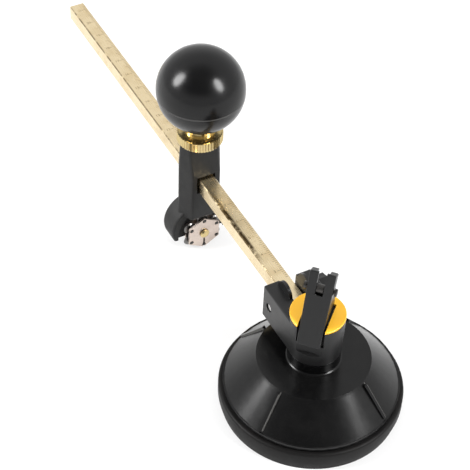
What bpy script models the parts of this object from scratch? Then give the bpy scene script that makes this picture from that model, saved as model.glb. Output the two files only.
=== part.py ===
"""Circle cutter with a suction foot, a brass beam and a six-wheel head.

Metres, +Z up. The origin is the middle of the rubber cup's flat underside, where it
sits on the glass, and the brass beam points along +X.
"""

import math

import bmesh
import bpy
from mathutils import Matrix, Vector

# Gaps and finish shared by all pieces
GAP = 0.0003
OVERRUN = 0.0020
MERGE = 0.00001
FINE_STEPS = 48
STEPS = 32
SMALL_STEPS = 20

# Rubber cup. Its bead stands outside the housing's skirt and under its rim.
CUP_RADIUS = 0.0350
CUP_DRAFT = 0.0010
CUP_EDGE = 0.0035
CUP_BEAD_HEIGHT = 0.0092
CUP_BEAD_ROUND = 0.0011
CUP_WEB = 0.0040
CUP_BOSS_WALL = 0.0022
CUP_BOSS_ROOF = 0.0030
CUP_LIP_RADIUS = CUP_RADIUS - CUP_DRAFT

# Pull rod with its plate in the rubber and its eye in the fork
ROD_RADIUS = 0.0013
ROD_CLEARANCE = 0.0004
PLATE_RADIUS = 0.0100
PLATE_THICKNESS = 0.0012
PLATE_HEIGHT = 0.0045
EYE_RADIUS = 0.0017
EYE_THICKNESS = 0.0024
PIN_RADIUS = 0.0008
PIN_HEAD_RADIUS = 0.0014
PIN_HEAD_THICKNESS = 0.0009
BORE_RADIUS = ROD_RADIUS + ROD_CLEARANCE
CUP_BOSS_RADIUS = PLATE_RADIUS + GAP + CUP_BOSS_WALL
CUP_BOSS_HEIGHT = PLATE_HEIGHT + PLATE_THICKNESS + GAP + CUP_BOSS_ROOF

# Base housing: skirt and rim on the cup, cone, shoulder, boss and spigot
RIM_SETBACK = 0.0016
RIM_CLEARANCE = 0.0005
RIM_THICKNESS = 0.0017
RIM_LEDGE = 0.0006
CONE_HEIGHT = 0.0129
SHOULDER_RADIUS = 0.0222
SHOULDER_ROUND = 0.0007
HOUSING_WALL = 0.0022
BOSS_RADIUS = 0.0099
BOSS_HEIGHT = 0.0050
BOSS_FILLET = 0.0010
SPIGOT_RADIUS = 0.0062
RIB_COUNT = 4
RIB_WIDTH = 0.0013
RIB_HEIGHT = 0.0005
RIB_FIRST_ANGLE = math.radians(25.5)
SKIRT_RADIUS = CUP_RADIUS - CUP_EDGE
RIM_RADIUS = CUP_RADIUS - RIM_SETBACK
RIM_BOTTOM = CUP_BEAD_HEIGHT + RIM_CLEARANCE
RIM_TOP = RIM_BOTTOM + RIM_THICKNESS
SHOULDER_HEIGHT = RIM_TOP + CONE_HEIGHT
BOSS_TOP = SHOULDER_HEIGHT + BOSS_HEIGHT

# Retaining ring in the spigot's groove, in a chamber of the tower
RING_THICKNESS = 0.0008
RING_RISE = 0.0052
RING_LEDGE = 0.0007
RING_MOUTH = 0.0060
GROOVE_DEPTH = 0.0010
SPIGOT_LAND = 0.0017
CHAMBER_CLEARANCE = 0.0006
CHAMBER_HEADROOM = 0.0010
RING_HEIGHT = BOSS_TOP + RING_RISE
RING_INNER_RADIUS = SPIGOT_RADIUS - GROOVE_DEPTH + GAP
RING_OUTER_RADIUS = SPIGOT_RADIUS + GAP + RING_LEDGE
SPIGOT_TOP = RING_HEIGHT + RING_THICKNESS + SPIGOT_LAND
CHAMBER_RADIUS = RING_OUTER_RADIUS + CHAMBER_CLEARANCE
CHAMBER_TOP = SPIGOT_TOP + CHAMBER_HEADROOM

# Return spring under the housing
SPRING_WIRE_RADIUS = 0.0005
SPRING_RADIUS = 0.0050
SPRING_TURNS = 6
SPRING_POINTS_PER_TURN = 10

# Swivel tower, standing on the housing's boss
TOWER_HEIGHT = 0.0170
TOWER_TOP_RADIUS = 0.0103
TOWER_FOOT_RADIUS = 0.0100
TOWER_BOTTOM = BOSS_TOP + GAP
TOWER_TOP = TOWER_BOTTOM + TOWER_HEIGHT
PIN_RISE = 0.0134
PIN_HEIGHT = TOWER_TOP + PIN_RISE

# Cam lever. It hangs into the tower's slot, LEVER_DROP_ANGLE below the horizontal.
LEVER_TURN_ANGLE = math.radians(133.0)
LEVER_DROP_ANGLE = math.radians(63.0)
LEVER_REACH = 0.0220
LEVER_TAIL = 0.0065
LEVER_TIP_TAPER = 0.0011
LEVER_FRONT = 0.0016
LEVER_BACK = 0.0026
LEVER_SKIN = 0.0009
LEVER_TIP_WALL = 0.0040
LEVER_HOLLOW_CLEARANCE = 0.0010
LEVER_ROUND = 0.0005
FORK_CLEARANCE = 0.0003
FORK_DEPTH = 0.0088
FORK_GAP = EYE_THICKNESS + 2 * FORK_CLEARANCE

# The tower's slot between its cheeks, which the lever fills, the saddle and the cap
CHEEK_WIDTH = 0.0051
SLOT_SIDE_CLEARANCE = 0.0003
SLOT_RECESS_DEPTH = 0.0011
SLOT_RECESS_RISE = 0.0052
SADDLE_INSET = 0.0008
SADDLE_DROP = 0.0037
SADDLE_BACK_INSET = 0.0048
SADDLE_CLEARANCE = 0.0003
CAP_THICKNESS = 0.0008
CAP_ROUND = 0.0002
SLOT_HALF = TOWER_TOP_RADIUS - CHEEK_WIDTH
LEVER_TAIL_WIDTH = 2 * (SLOT_HALF - SLOT_SIDE_CLEARANCE)
LEVER_TIP_WIDTH = LEVER_TAIL_WIDTH - LEVER_TIP_TAPER
SLOT_RECESS_BOTTOM = TOWER_BOTTOM + SLOT_RECESS_RISE
SADDLE_WIDTH = 2 * (SLOT_HALF - SADDLE_INSET)
SADDLE_TOP = PIN_HEIGHT - SADDLE_DROP
SADDLE_BACK = TOWER_TOP_RADIUS - SADDLE_BACK_INSET
CAP_BOTTOM = TOWER_TOP + GAP
CAP_TOP = CAP_BOTTOM + CAP_THICKNESS

# Square brass beam
BAR_SIDE = 0.0066
BAR_LENGTH = 0.2031
BAR_RISE = 0.0078
BAR_EDGE = 0.00035
BAR_CLEARANCE = 0.0003
BAR_HALF = BAR_SIDE / 2
BAR_MIDDLE = TOWER_BOTTOM + BAR_RISE
BAR_TOP = BAR_MIDDLE + BAR_HALF
CHANNEL_HALF = BAR_HALF + BAR_CLEARANCE

# Bar bracket on the tower, with the beam's channel and its pivot
CHANNEL_WALL = 0.0031
CHANNEL_END_CLEARANCE = 0.0011
CHANNEL_REST_OFFSET = 0.0008
CHANNEL_SWING_DEPTH = 0.0062
PIVOT_INSET = 0.0057
BRACKET_REACH = 0.0046
BRACKET_WIDTH = 0.0200
BRACKET_HEIGHT = 0.0154
BRACKET_ROUND = 0.0006
LUG_RADIUS = 0.0044
LUG_SETBACK = 0.0014
LUG_RISE = 0.0072
LUG_THICKNESS = 0.0012
CHANNEL_START = CHAMBER_RADIUS + CHANNEL_WALL
BAR_START = CHANNEL_START + CHANNEL_END_CLEARANCE
BAR_END = BAR_START + BAR_LENGTH
PIVOT_X = BAR_START + PIVOT_INSET
CHANNEL_REST_START = PIVOT_X + CHANNEL_REST_OFFSET
CHANNEL_POCKET_FLOOR = BAR_MIDDLE - CHANNEL_SWING_DEPTH
BRACKET_LENGTH = PIVOT_X + BRACKET_REACH
BRACKET_TOP = TOWER_BOTTOM + BRACKET_HEIGHT
LUG_X = PIVOT_X - LUG_SETBACK
LUG_HEIGHT = BAR_MIDDLE + LUG_RISE

# Pivot screw through bracket and beam
PIVOT_RADIUS = 0.0015
PIVOT_TIP_SINK = 0.0006
KNOB_RADIUS = 0.0056
KNOB_THICKNESS = 0.0043
KNOB_LOBES = 10
KNOB_LOBE_DEPTH = 0.00035
KNOB_ROUND = 0.0005

# Six-wheel turret. The lowest wheel stands on the glass.
WHEEL_COUNT = 6
WHEEL_RADIUS = 0.0026
WHEEL_BEVEL = 0.0005
WHEEL_THICKNESS = 0.0010
WHEEL_SIDE_CLEARANCE = 0.0004
WHEEL_ORBIT = 0.0066
AXLE_RADIUS = 0.0006
AXLE_PROUD = 0.0001
TURRET_FRONT = 0.0056
TURRET_MARGIN = 0.0013
TURRET_PLATE_THICKNESS = 0.0009
TURRET_CORE_CLEARANCE = 0.0005
TURRET_SLOT_WIDTH = 0.0008
TURRET_SLOT_START = 0.0029
SCREW_RADIUS = 0.0013
SCREW_HEAD_RADIUS = 0.0020
SCREW_HEAD_THICKNESS = 0.0008
HEX_NUT_RADIUS = 0.0029
HEX_NUT_THICKNESS = 0.0020
WHEEL_SHOULDER_RADIUS = WHEEL_RADIUS - WHEEL_BEVEL
TURRET_HEIGHT = WHEEL_ORBIT + WHEEL_RADIUS
TURRET_PLATE_RADIUS = WHEEL_ORBIT + TURRET_MARGIN
TURRET_CORE_RADIUS = WHEEL_ORBIT - WHEEL_RADIUS - TURRET_CORE_CLEARANCE
TURRET_CORE_THICKNESS = WHEEL_THICKNESS + 2 * WHEEL_SIDE_CLEARANCE

# Foot of the slider, round the turret
POCKET_CLEARANCE = 0.0011
FOOT_WALL = 0.0025
FOOT_RISE = 0.0018
FOOT_FRONT = 0.0025
FOOT_BACK = 0.0068
FOOT_CUT_DROP = 0.0027
FOOT_ROUND = 0.0008
FOOT_JOINT_RISE = 0.0080
POCKET_RADIUS = TURRET_HEIGHT + POCKET_CLEARANCE
FOOT_RADIUS = POCKET_RADIUS + FOOT_WALL
FOOT_CENTRE = TURRET_HEIGHT + FOOT_RISE
FOOT_CUT = TURRET_HEIGHT - FOOT_CUT_DROP
SLIDER_FOOT_TOP = FOOT_CENTRE + FOOT_JOINT_RISE

# Slider block: straight up to the window's roof, drawn in above it, with a pocket
# over the beam for the clamp's shoe
SLIDER_X = 0.0936
SLIDER_HALF_LENGTH = 0.0062
SLIDER_FACE_WIDTH = 0.0124
SLIDER_WIDTH = 0.0184
SLIDER_RISE = 0.0160
SLIDER_END_TAPER = 0.0026
SLIDER_SIDE_TAPER = 0.0003
SLIDER_ROUND = 0.0008
WINDOW_HEADROOM = 0.0006
MOUTH_DEPTH = 0.0016
MOUTH_STEP = 0.0004
SLIDER_TOP = BAR_TOP + SLIDER_RISE
WINDOW_ROOF = BAR_TOP + WINDOW_HEADROOM

# Clamp: shoe, stud, lock nut and ball
SHOE_SETBACK = 0.0026
SHOE_SIDE_CLEARANCE = 0.0006
SHOE_THICKNESS = 0.0023
SHOE_ROUND = 0.0004
STUD_RADIUS = 0.0024
NUT_RADIUS = 0.0092
NUT_THICKNESS = 0.0040
NUT_TEETH = 48
NUT_TOOTH_DEPTH = 0.00040
NUT_HUB_RADIUS = 0.0062
NUT_HUB_HEIGHT = 0.0027
INSERT_RADIUS = 0.0050
INSERT_DEPTH = 0.0133
INSERT_FLANGE_WIDTH = 0.0014
INSERT_FLANGE_THICKNESS = 0.0009
INSERT_CROWN = 0.0012
BALL_RADIUS = 0.01734
BALL_RISE = 0.0163
BALL_SEAM_DROP = 0.0014
BALL_SEAM_WIDTH = 0.0004
BALL_SEAM_DEPTH = 0.00012
SHOE_HALF_LENGTH = SLIDER_HALF_LENGTH - SHOE_SETBACK
SHOE_HALF_WIDTH = CHANNEL_HALF - SHOE_SIDE_CLEARANCE
SHOE_BOTTOM = BAR_TOP + GAP
SHOE_TOP = SHOE_BOTTOM + SHOE_THICKNESS
SHOE_ROOF = SHOE_TOP + GAP
NUT_BOTTOM = SLIDER_TOP + GAP
NUT_RIM_TOP = NUT_BOTTOM + NUT_THICKNESS
NUT_HUB_TOP = NUT_RIM_TOP + NUT_HUB_HEIGHT
INSERT_BOTTOM = NUT_HUB_TOP + GAP
BALL_FLAT = INSERT_BOTTOM + INSERT_FLANGE_THICKNESS + GAP
BALL_HEIGHT = BALL_FLAT + BALL_RISE
INSERT_TOP = BALL_FLAT + INSERT_DEPTH
STUD_TOP = INSERT_TOP - INSERT_CROWN - GAP

# Directions of the lever: outwards over the slot, up and sideways
OUTWARD = Vector((math.cos(LEVER_TURN_ANGLE), math.sin(LEVER_TURN_ANGLE), 0))
UP = Vector((0, 0, 1))
SIDEWAYS = OUTWARD.cross(UP)

PARTS = "circle_cutter"
CUTTERS = "circle_cutter_cutters"


def new_collection(name):
    """An empty collection in the scene."""
    collection = bpy.data.collections.new(name)
    bpy.context.scene.collection.children.link(collection)
    return collection


def new_material(name, colour, roughness, metallic=0.0):
    """A Principled material with one colour."""
    material = bpy.data.materials.new(name)
    material.use_nodes = True
    shader = material.node_tree.nodes["Principled BSDF"]
    shader.inputs["Base Color"].default_value = (*colour, 1.0)
    shader.inputs["Roughness"].default_value = roughness
    shader.inputs["Metallic"].default_value = metallic
    material.diffuse_color = (*colour, 1.0)
    return material


def new_object(name, mesh, matrix=None):
    """A linked mesh object, placed by its matrix."""
    made = bpy.data.objects.new(name, mesh)
    bpy.data.collections[PARTS].objects.link(made)
    if matrix is not None:
        made.matrix_world = matrix
    return made


def smooth(made, angle=math.radians(35)):
    """Smooth shading with sharp edges kept."""
    made.data.shade_smooth()
    made.data.set_sharp_from_angle(angle=angle)
    return made


def turned(name, profile, closed=False, steps=STEPS, matrix=None):
    """A turned solid: the profile, read down its outer side, goes once round Z."""
    mesh = bpy.data.meshes.new(name)
    count = len(profile)
    edges = [(i, i + 1) for i in range(count - 1)]
    if closed:
        edges.append((count - 1, 0))
    mesh.from_pydata([(radius, 0, height) for radius, height in profile], edges, [])
    made = new_object(name, mesh, matrix)
    screw = made.modifiers.new("turn", "SCREW")
    screw.axis = "Z"
    screw.angle = 2 * math.pi
    screw.steps = steps
    screw.render_steps = steps
    screw.use_merge_vertices = True
    screw.merge_threshold = MERGE
    screw.use_smooth_shade = True
    return made


def plate(name, outline, thickness, matrix, round_edge=0.0):
    """A flat outline given a thickness, centred on the matrix's XY plane."""
    curve = bpy.data.curves.new(name, "CURVE")
    curve.dimensions = "2D"
    curve.fill_mode = "BOTH"
    curve.extrude = thickness / 2
    spline = curve.splines.new("POLY")
    spline.points.add(len(outline) - 1)
    for point, (x, y) in zip(spline.points, outline):
        point.co = (x, y, 0, 1)
    spline.use_cyclic_u = True
    made = curve_to_mesh(name, curve, matrix)
    if round_edge:
        bevel(made, round_edge)
    return made


def curve_to_mesh(name, curve, matrix=None):
    """The mesh of a curve, with its caps welded on, in place of the curve."""
    guide = bpy.data.objects.new(name + "_guide", curve)
    bpy.context.scene.collection.objects.link(guide)
    if matrix is not None:
        guide.matrix_world = matrix
    bpy.context.view_layer.update()
    evaluated = guide.evaluated_get(bpy.context.evaluated_depsgraph_get())
    mesh = bpy.data.meshes.new_from_object(evaluated)
    mesh.name = name
    work = bmesh.new()
    work.from_mesh(mesh)
    bmesh.ops.remove_doubles(work, verts=work.verts, dist=MERGE)
    bmesh.ops.recalc_face_normals(work, faces=work.faces)
    work.to_mesh(mesh)
    work.free()
    made = new_object(name, mesh, guide.matrix_world.copy())
    bpy.data.objects.remove(guide)
    return made


def lofted(name, sections, matrix):
    """A solid through flat outlines of as many points each, from the lowest up."""
    work = bmesh.new()
    rings = []
    for outline, height in sections:
        rings.append([work.verts.new((x, y, height)) for x, y in outline])
    for lower, upper in zip(rings, rings[1:]):
        for i in range(len(lower)):
            j = (i + 1) % len(lower)
            work.faces.new((lower[i], lower[j], upper[j], upper[i]))
    work.faces.new(rings[0])
    work.faces.new(rings[-1])
    bmesh.ops.recalc_face_normals(work, faces=work.faces)
    mesh = bpy.data.meshes.new(name)
    work.to_mesh(mesh)
    work.free()
    return new_object(name, mesh, matrix)


def rod(name, radius, start, end, steps=STEPS):
    """A cylinder between two points."""
    start, end = Vector(start), Vector(end)
    along = end - start
    turn = along.to_track_quat("Z", "Y").to_matrix().to_4x4()
    work = bmesh.new()
    bmesh.ops.create_cone(
        work,
        cap_ends=True,
        segments=steps,
        radius1=radius,
        radius2=radius,
        depth=along.length,
    )
    mesh = bpy.data.meshes.new(name)
    work.to_mesh(mesh)
    work.free()
    return smooth(new_object(name, mesh, Matrix.Translation((start + end) / 2) @ turn))


def block(name, low, high, matrix=None, round_edge=0.0):
    """A box between two corners."""
    low, high = Vector(low), Vector(high)
    work = bmesh.new()
    bmesh.ops.create_cube(work, size=1.0)
    size = high - low
    bmesh.ops.scale(work, vec=size, verts=work.verts)
    bmesh.ops.translate(work, vec=(low + high) / 2, verts=work.verts)
    mesh = bpy.data.meshes.new(name)
    work.to_mesh(mesh)
    work.free()
    made = new_object(name, mesh, matrix)
    if round_edge:
        bevel(made, round_edge)
    return made


def bevel(made, width, segments=2):
    """Rounded edges."""
    rounded = made.modifiers.new("round", "BEVEL")
    rounded.width = width
    rounded.segments = segments
    rounded.limit_method = "ANGLE"
    rounded.angle_limit = math.radians(30)
    return made


def to_cutters(tool):
    """Puts a tool body with the cutters, out of the render."""
    bpy.data.collections[PARTS].objects.unlink(tool)
    bpy.data.collections[CUTTERS].objects.link(tool)
    tool.hide_render = True
    tool.display_type = "WIRE"


def combine(target, tool, operation):
    """A Boolean of target with tool."""
    to_cutters(tool)
    step = target.modifiers.new(operation.lower(), "BOOLEAN")
    step.operation = operation
    step.solver = "EXACT"
    step.object = tool
    return target


def cut(target, tool):
    """Takes the tool's space out of the target."""
    return combine(target, tool, "DIFFERENCE")


def join(target, tool):
    """Makes the tool one body with the target."""
    return combine(target, tool, "UNION")


def arc(centre, radius, start, end, count):
    """Points on an arc, from one angle to another, ends included."""
    points = []
    for i in range(count):
        angle = start + (end - start) * i / (count - 1)
        points.append(
            (centre[0] + radius * math.cos(angle), centre[1] + radius * math.sin(angle))
        )
    return points


def fluted(radius, depth, count, per_flute):
    """A round outline whose radius swings by depth, count times round."""
    total = count * per_flute
    points = []
    for i in range(total):
        angle = 2 * math.pi * i / total
        reach = radius - depth * (1 - math.cos(count * angle)) / 2
        points.append((reach * math.cos(angle), reach * math.sin(angle)))
    return points


def polygon(radius, count, first=0.0):
    """A regular outline with its first corner at an angle."""
    points = []
    for i in range(count):
        angle = first + 2 * math.pi * i / count
        points.append((radius * math.cos(angle), radius * math.sin(angle)))
    return points


def frame_matrix(x_axis, y_axis, origin=(0, 0, 0)):
    """A frame from two directions and its origin."""
    x_axis, y_axis = Vector(x_axis), Vector(y_axis)
    z_axis = x_axis.cross(y_axis)
    matrix = Matrix((x_axis, y_axis, z_axis)).transposed().to_4x4()
    matrix.translation = Vector(origin)
    return matrix


def paint(made, material):
    """One material on the whole piece."""
    made.data.materials.clear()
    made.data.materials.append(material)
    return made


# Frames used by several pieces. The lever's runs along the lever, out of its front
# face and sideways; the slot's runs outwards, up and sideways.
LEVER_ALONG = OUTWARD * math.cos(LEVER_DROP_ANGLE) - UP * math.sin(LEVER_DROP_ANGLE)
LEVER_FACE = OUTWARD * math.sin(LEVER_DROP_ANGLE) + UP * math.cos(LEVER_DROP_ANGLE)
LEVER_FRAME = frame_matrix(LEVER_ALONG, LEVER_FACE, (0, 0, PIN_HEIGHT))
LEVER_PLAN = frame_matrix(LEVER_ALONG, -SIDEWAYS, (0, 0, PIN_HEIGHT))
SLOT_FRAME = frame_matrix(OUTWARD, UP)
FACING_X = frame_matrix((0, 1, 0), (0, 0, 1))
FACING_Y = frame_matrix((0, 0, 1), (1, 0, 0))


def make_suction_cup(material):
    """Rubber disc with an outer bead and a boss moulded round the pull plate."""
    pocket_radius = PLATE_RADIUS + GAP
    pocket_floor = PLATE_HEIGHT - GAP
    pocket_roof = PLATE_HEIGHT + PLATE_THICKNESS + GAP
    bead_inner = SKIRT_RADIUS + GAP
    bead_top = arc(
        (CUP_RADIUS - CUP_BEAD_ROUND, CUP_BEAD_HEIGHT - CUP_BEAD_ROUND),
        CUP_BEAD_ROUND,
        math.pi / 2,
        0,
        5,
    )
    profile = [
        (0, pocket_floor),
        (pocket_radius, pocket_floor),
        (pocket_radius, pocket_roof),
        (BORE_RADIUS, pocket_roof),
        (BORE_RADIUS, CUP_BOSS_HEIGHT),
        (CUP_BOSS_RADIUS, CUP_BOSS_HEIGHT),
        (CUP_BOSS_RADIUS, CUP_WEB),
        (bead_inner, CUP_WEB),
        (bead_inner, CUP_BEAD_HEIGHT - CUP_BEAD_ROUND / 2),
        (bead_inner + CUP_BEAD_ROUND / 2, CUP_BEAD_HEIGHT),
        *bead_top,
        (CUP_RADIUS, CUP_WEB),
        (CUP_LIP_RADIUS, 0),
        (0, 0),
    ]
    return paint(turned("suction_cup", profile, steps=FINE_STEPS), material)


def make_base_housing(material):
    """Moulded cone with a flat shoulder, a boss and the spigot the tower turns on."""
    slope = (RIM_RADIUS - RIM_LEDGE - SHOULDER_RADIUS) / (SHOULDER_HEIGHT - RIM_TOP)
    inset = HOUSING_WALL * math.sqrt(1 + slope * slope)
    skirt_inner = SKIRT_RADIUS - HOUSING_WALL
    cone_meets_skirt = SHOULDER_HEIGHT - (skirt_inner - SHOULDER_RADIUS + inset) / slope
    ceiling = SHOULDER_HEIGHT - HOUSING_WALL
    groove_low = RING_HEIGHT - GAP
    groove_high = RING_HEIGHT + RING_THICKNESS + GAP
    groove_radius = RING_INNER_RADIUS - GAP
    fillet = arc(
        (BOSS_RADIUS + BOSS_FILLET, SHOULDER_HEIGHT + BOSS_FILLET),
        BOSS_FILLET,
        math.pi,
        1.5 * math.pi,
        4,
    )
    profile = [
        (BORE_RADIUS, SPIGOT_TOP),
        (SPIGOT_RADIUS, SPIGOT_TOP),
        (SPIGOT_RADIUS, groove_high),
        (groove_radius, groove_high),
        (groove_radius, groove_low),
        (SPIGOT_RADIUS, groove_low),
        (SPIGOT_RADIUS, BOSS_TOP),
        (BOSS_RADIUS, BOSS_TOP),
        *fillet,
        (SHOULDER_RADIUS - SHOULDER_ROUND, SHOULDER_HEIGHT),
        (SHOULDER_RADIUS, SHOULDER_HEIGHT - SHOULDER_ROUND / slope),
        (RIM_RADIUS - RIM_LEDGE, RIM_TOP),
        (RIM_RADIUS, RIM_TOP),
        (RIM_RADIUS, RIM_BOTTOM),
        (SKIRT_RADIUS, RIM_BOTTOM),
        (SKIRT_RADIUS, CUP_WEB + GAP),
        (skirt_inner, CUP_WEB + GAP),
        (skirt_inner, cone_meets_skirt),
        (SHOULDER_RADIUS + slope * HOUSING_WALL - inset, ceiling),
        (BOSS_RADIUS - HOUSING_WALL, ceiling),
        (BOSS_RADIUS - HOUSING_WALL, BOSS_TOP - HOUSING_WALL),
        (BORE_RADIUS, BOSS_TOP - HOUSING_WALL),
    ]
    made = turned("base_housing", profile, closed=True, steps=FINE_STEPS)
    rib_run = Vector((RIM_RADIUS - RIM_LEDGE - SHOULDER_RADIUS, 0, RIM_TOP - SHOULDER_HEIGHT))
    rib_length = rib_run.length
    rib_middle = Vector((SHOULDER_RADIUS, 0, SHOULDER_HEIGHT)) + rib_run / 2
    for i in range(RIB_COUNT):
        turn = Matrix.Rotation(RIB_FIRST_ANGLE + 2 * math.pi * i / RIB_COUNT, 4, "Z")
        lie = frame_matrix(rib_run.normalized(), (0, 1, 0), rib_middle)
        half_length = rib_length / 2 - RIB_WIDTH / 2
        rib = block(
            f"rib_{i + 1}",
            (-half_length, -RIB_WIDTH / 2, -RIB_HEIGHT),
            (half_length, RIB_WIDTH / 2, RIB_HEIGHT),
            turn @ lie,
        )
        join(made, rib)
    return paint(made, material)


def make_cup_spring(material):
    """Compression spring between the rubber boss and the housing, one open coil."""
    low = CUP_BOSS_HEIGHT + SPRING_WIRE_RADIUS + GAP
    high = BOSS_TOP - HOUSING_WALL - SPRING_WIRE_RADIUS - GAP
    count = SPRING_TURNS * SPRING_POINTS_PER_TURN + 1
    curve = bpy.data.curves.new("cup_spring", "CURVE")
    curve.dimensions = "3D"
    curve.bevel_depth = SPRING_WIRE_RADIUS
    curve.bevel_resolution = 1
    curve.use_fill_caps = True
    spline = curve.splines.new("POLY")
    spline.points.add(count - 1)
    for i, point in enumerate(spline.points):
        share = i / (count - 1)
        angle = 2 * math.pi * SPRING_TURNS * share
        height = low + (high - low) * share
        point.co = (SPRING_RADIUS * math.cos(angle), SPRING_RADIUS * math.sin(angle), height, 1)
    least_gap = (high - low) / SPRING_TURNS - 2 * SPRING_WIRE_RADIUS
    print(f"cup_spring: least gap between turns {least_gap * 1000:.2f} mm")
    return paint(smooth(curve_to_mesh("cup_spring", curve), math.pi), material)


def make_retaining_ring(material):
    """Open spring ring in the spigot's groove, above the tower's inner shoulder."""
    profile = [
        (RING_INNER_RADIUS, RING_HEIGHT + RING_THICKNESS),
        (RING_OUTER_RADIUS, RING_HEIGHT + RING_THICKNESS),
        (RING_OUTER_RADIUS, RING_HEIGHT),
        (RING_INNER_RADIUS, RING_HEIGHT),
    ]
    made = turned("retaining_ring", profile, closed=True, steps=SMALL_STEPS)
    mouth = block(
        "ring_mouth",
        (0, -RING_MOUTH / 2, RING_HEIGHT - OVERRUN),
        (RING_OUTER_RADIUS + OVERRUN, RING_MOUTH / 2, RING_HEIGHT + RING_THICKNESS + OVERRUN),
    )
    return paint(cut(made, mouth), material)


def make_pull_rod(material):
    """Steel rod: round plate in the rubber below, flat eye in the fork above."""
    top = PIN_HEIGHT - EYE_RADIUS / 2
    profile = [
        (0, top),
        (ROD_RADIUS, top),
        (ROD_RADIUS, PLATE_HEIGHT + PLATE_THICKNESS),
        (PLATE_RADIUS, PLATE_HEIGHT + PLATE_THICKNESS),
        (PLATE_RADIUS, PLATE_HEIGHT),
        (0, PLATE_HEIGHT),
    ]
    made = turned("pull_rod", profile, steps=SMALL_STEPS)
    flats = EYE_THICKNESS / 2
    for side in (1, -1):
        near, far = sorted((side * flats, side * (ROD_RADIUS + OVERRUN)))
        flat = block(
            f"eye_flat_{'left' if side > 0 else 'right'}",
            (-EYE_RADIUS - OVERRUN, PIN_HEIGHT - 2 * EYE_RADIUS, near),
            (EYE_RADIUS + OVERRUN, PIN_HEIGHT + 2 * EYE_RADIUS, far),
            SLOT_FRAME,
        )
        cut(made, flat)
    pin_axis = Vector((0, 0, PIN_HEIGHT))
    eye = rod("rod_eye", EYE_RADIUS, pin_axis - SIDEWAYS * flats, pin_axis + SIDEWAYS * flats)
    join(made, eye)
    reach = SIDEWAYS * (flats + OVERRUN)
    hole = rod("eye_hole", PIN_RADIUS + GAP, pin_axis - reach, pin_axis + reach, SMALL_STEPS)
    return paint(cut(made, hole), material)


def make_cam_lever(material):
    """Forked lever, hollow behind, with a solid tip for the finger."""
    thickness = LEVER_FRONT + LEVER_BACK
    outline = [
        (-LEVER_TAIL, -LEVER_TAIL_WIDTH / 2),
        (LEVER_REACH, -LEVER_TIP_WIDTH / 2),
        (LEVER_REACH, LEVER_TIP_WIDTH / 2),
        (-LEVER_TAIL, LEVER_TAIL_WIDTH / 2),
    ]
    middle = (LEVER_FRONT - LEVER_BACK) / 2
    plan = Matrix.Translation(LEVER_FACE * middle) @ LEVER_PLAN
    made = plate("cam_lever", outline, thickness, plan, LEVER_ROUND)
    inside = ROD_RADIUS + LEVER_HOLLOW_CLEARANCE
    hollow = block(
        "lever_hollow",
        (-LEVER_TAIL - OVERRUN, -LEVER_BACK - OVERRUN, -inside),
        (LEVER_REACH - LEVER_TIP_WALL, LEVER_FRONT - LEVER_SKIN, inside),
        LEVER_FRAME,
    )
    cut(made, hollow)
    fork = block(
        "fork_gap",
        (-LEVER_TAIL - OVERRUN, -LEVER_BACK - OVERRUN, -FORK_GAP / 2),
        (FORK_DEPTH - LEVER_TAIL, LEVER_FRONT + OVERRUN, FORK_GAP / 2),
        LEVER_FRAME,
    )
    cut(made, fork)
    pin_axis = Vector((0, 0, PIN_HEIGHT))
    reach = SIDEWAYS * (LEVER_TAIL_WIDTH / 2 + OVERRUN)
    hole = rod("fork_hole", PIN_RADIUS + GAP, pin_axis - reach, pin_axis + reach, SMALL_STEPS)
    return paint(cut(made, hole), material)


def make_lever_pin(material):
    """Headed pin through the fork and the rod's eye."""
    inner = LEVER_TAIL_WIDTH / 2 + GAP
    outer = inner + PIN_HEAD_THICKNESS
    profile = [
        (0, outer),
        (PIN_HEAD_RADIUS, outer),
        (PIN_HEAD_RADIUS, inner),
        (PIN_RADIUS, inner),
        (PIN_RADIUS, -inner),
        (PIN_HEAD_RADIUS, -inner),
        (PIN_HEAD_RADIUS, -outer),
        (0, -outer),
    ]
    return paint(turned("lever_pin", profile, steps=SMALL_STEPS, matrix=LEVER_FRAME), material)


def slot_back_at(height):
    """How far out the slot's back wall, which lies along the lever, is at a height."""
    rise = (height - PIN_HEIGHT) * math.cos(LEVER_DROP_ANGLE)
    return -(LEVER_BACK + SADDLE_CLEARANCE + rise) / math.sin(LEVER_DROP_ANGLE)


def slot_outline():
    """The lever's slot from the side: back wall, floor under the tip, finger recess."""
    cosine, sine = math.cos(LEVER_DROP_ANGLE), math.sin(LEVER_DROP_ANGLE)
    tip = LEVER_REACH + GAP
    back = -LEVER_BACK - SADDLE_CLEARANCE
    recess = TOWER_FOOT_RADIUS - SLOT_RECESS_DEPTH
    beyond = TOWER_TOP_RADIUS + OVERRUN
    above = PIN_HEIGHT + LEVER_REACH
    return [
        (slot_back_at(above), above),
        (tip * cosine + back * sine, PIN_HEIGHT - tip * sine + back * cosine),
        (recess, PIN_HEIGHT - (tip - recess * cosine) / sine),
        (recess, SLOT_RECESS_BOTTOM),
        (beyond, SLOT_RECESS_BOTTOM),
        (beyond, above),
    ]


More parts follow.
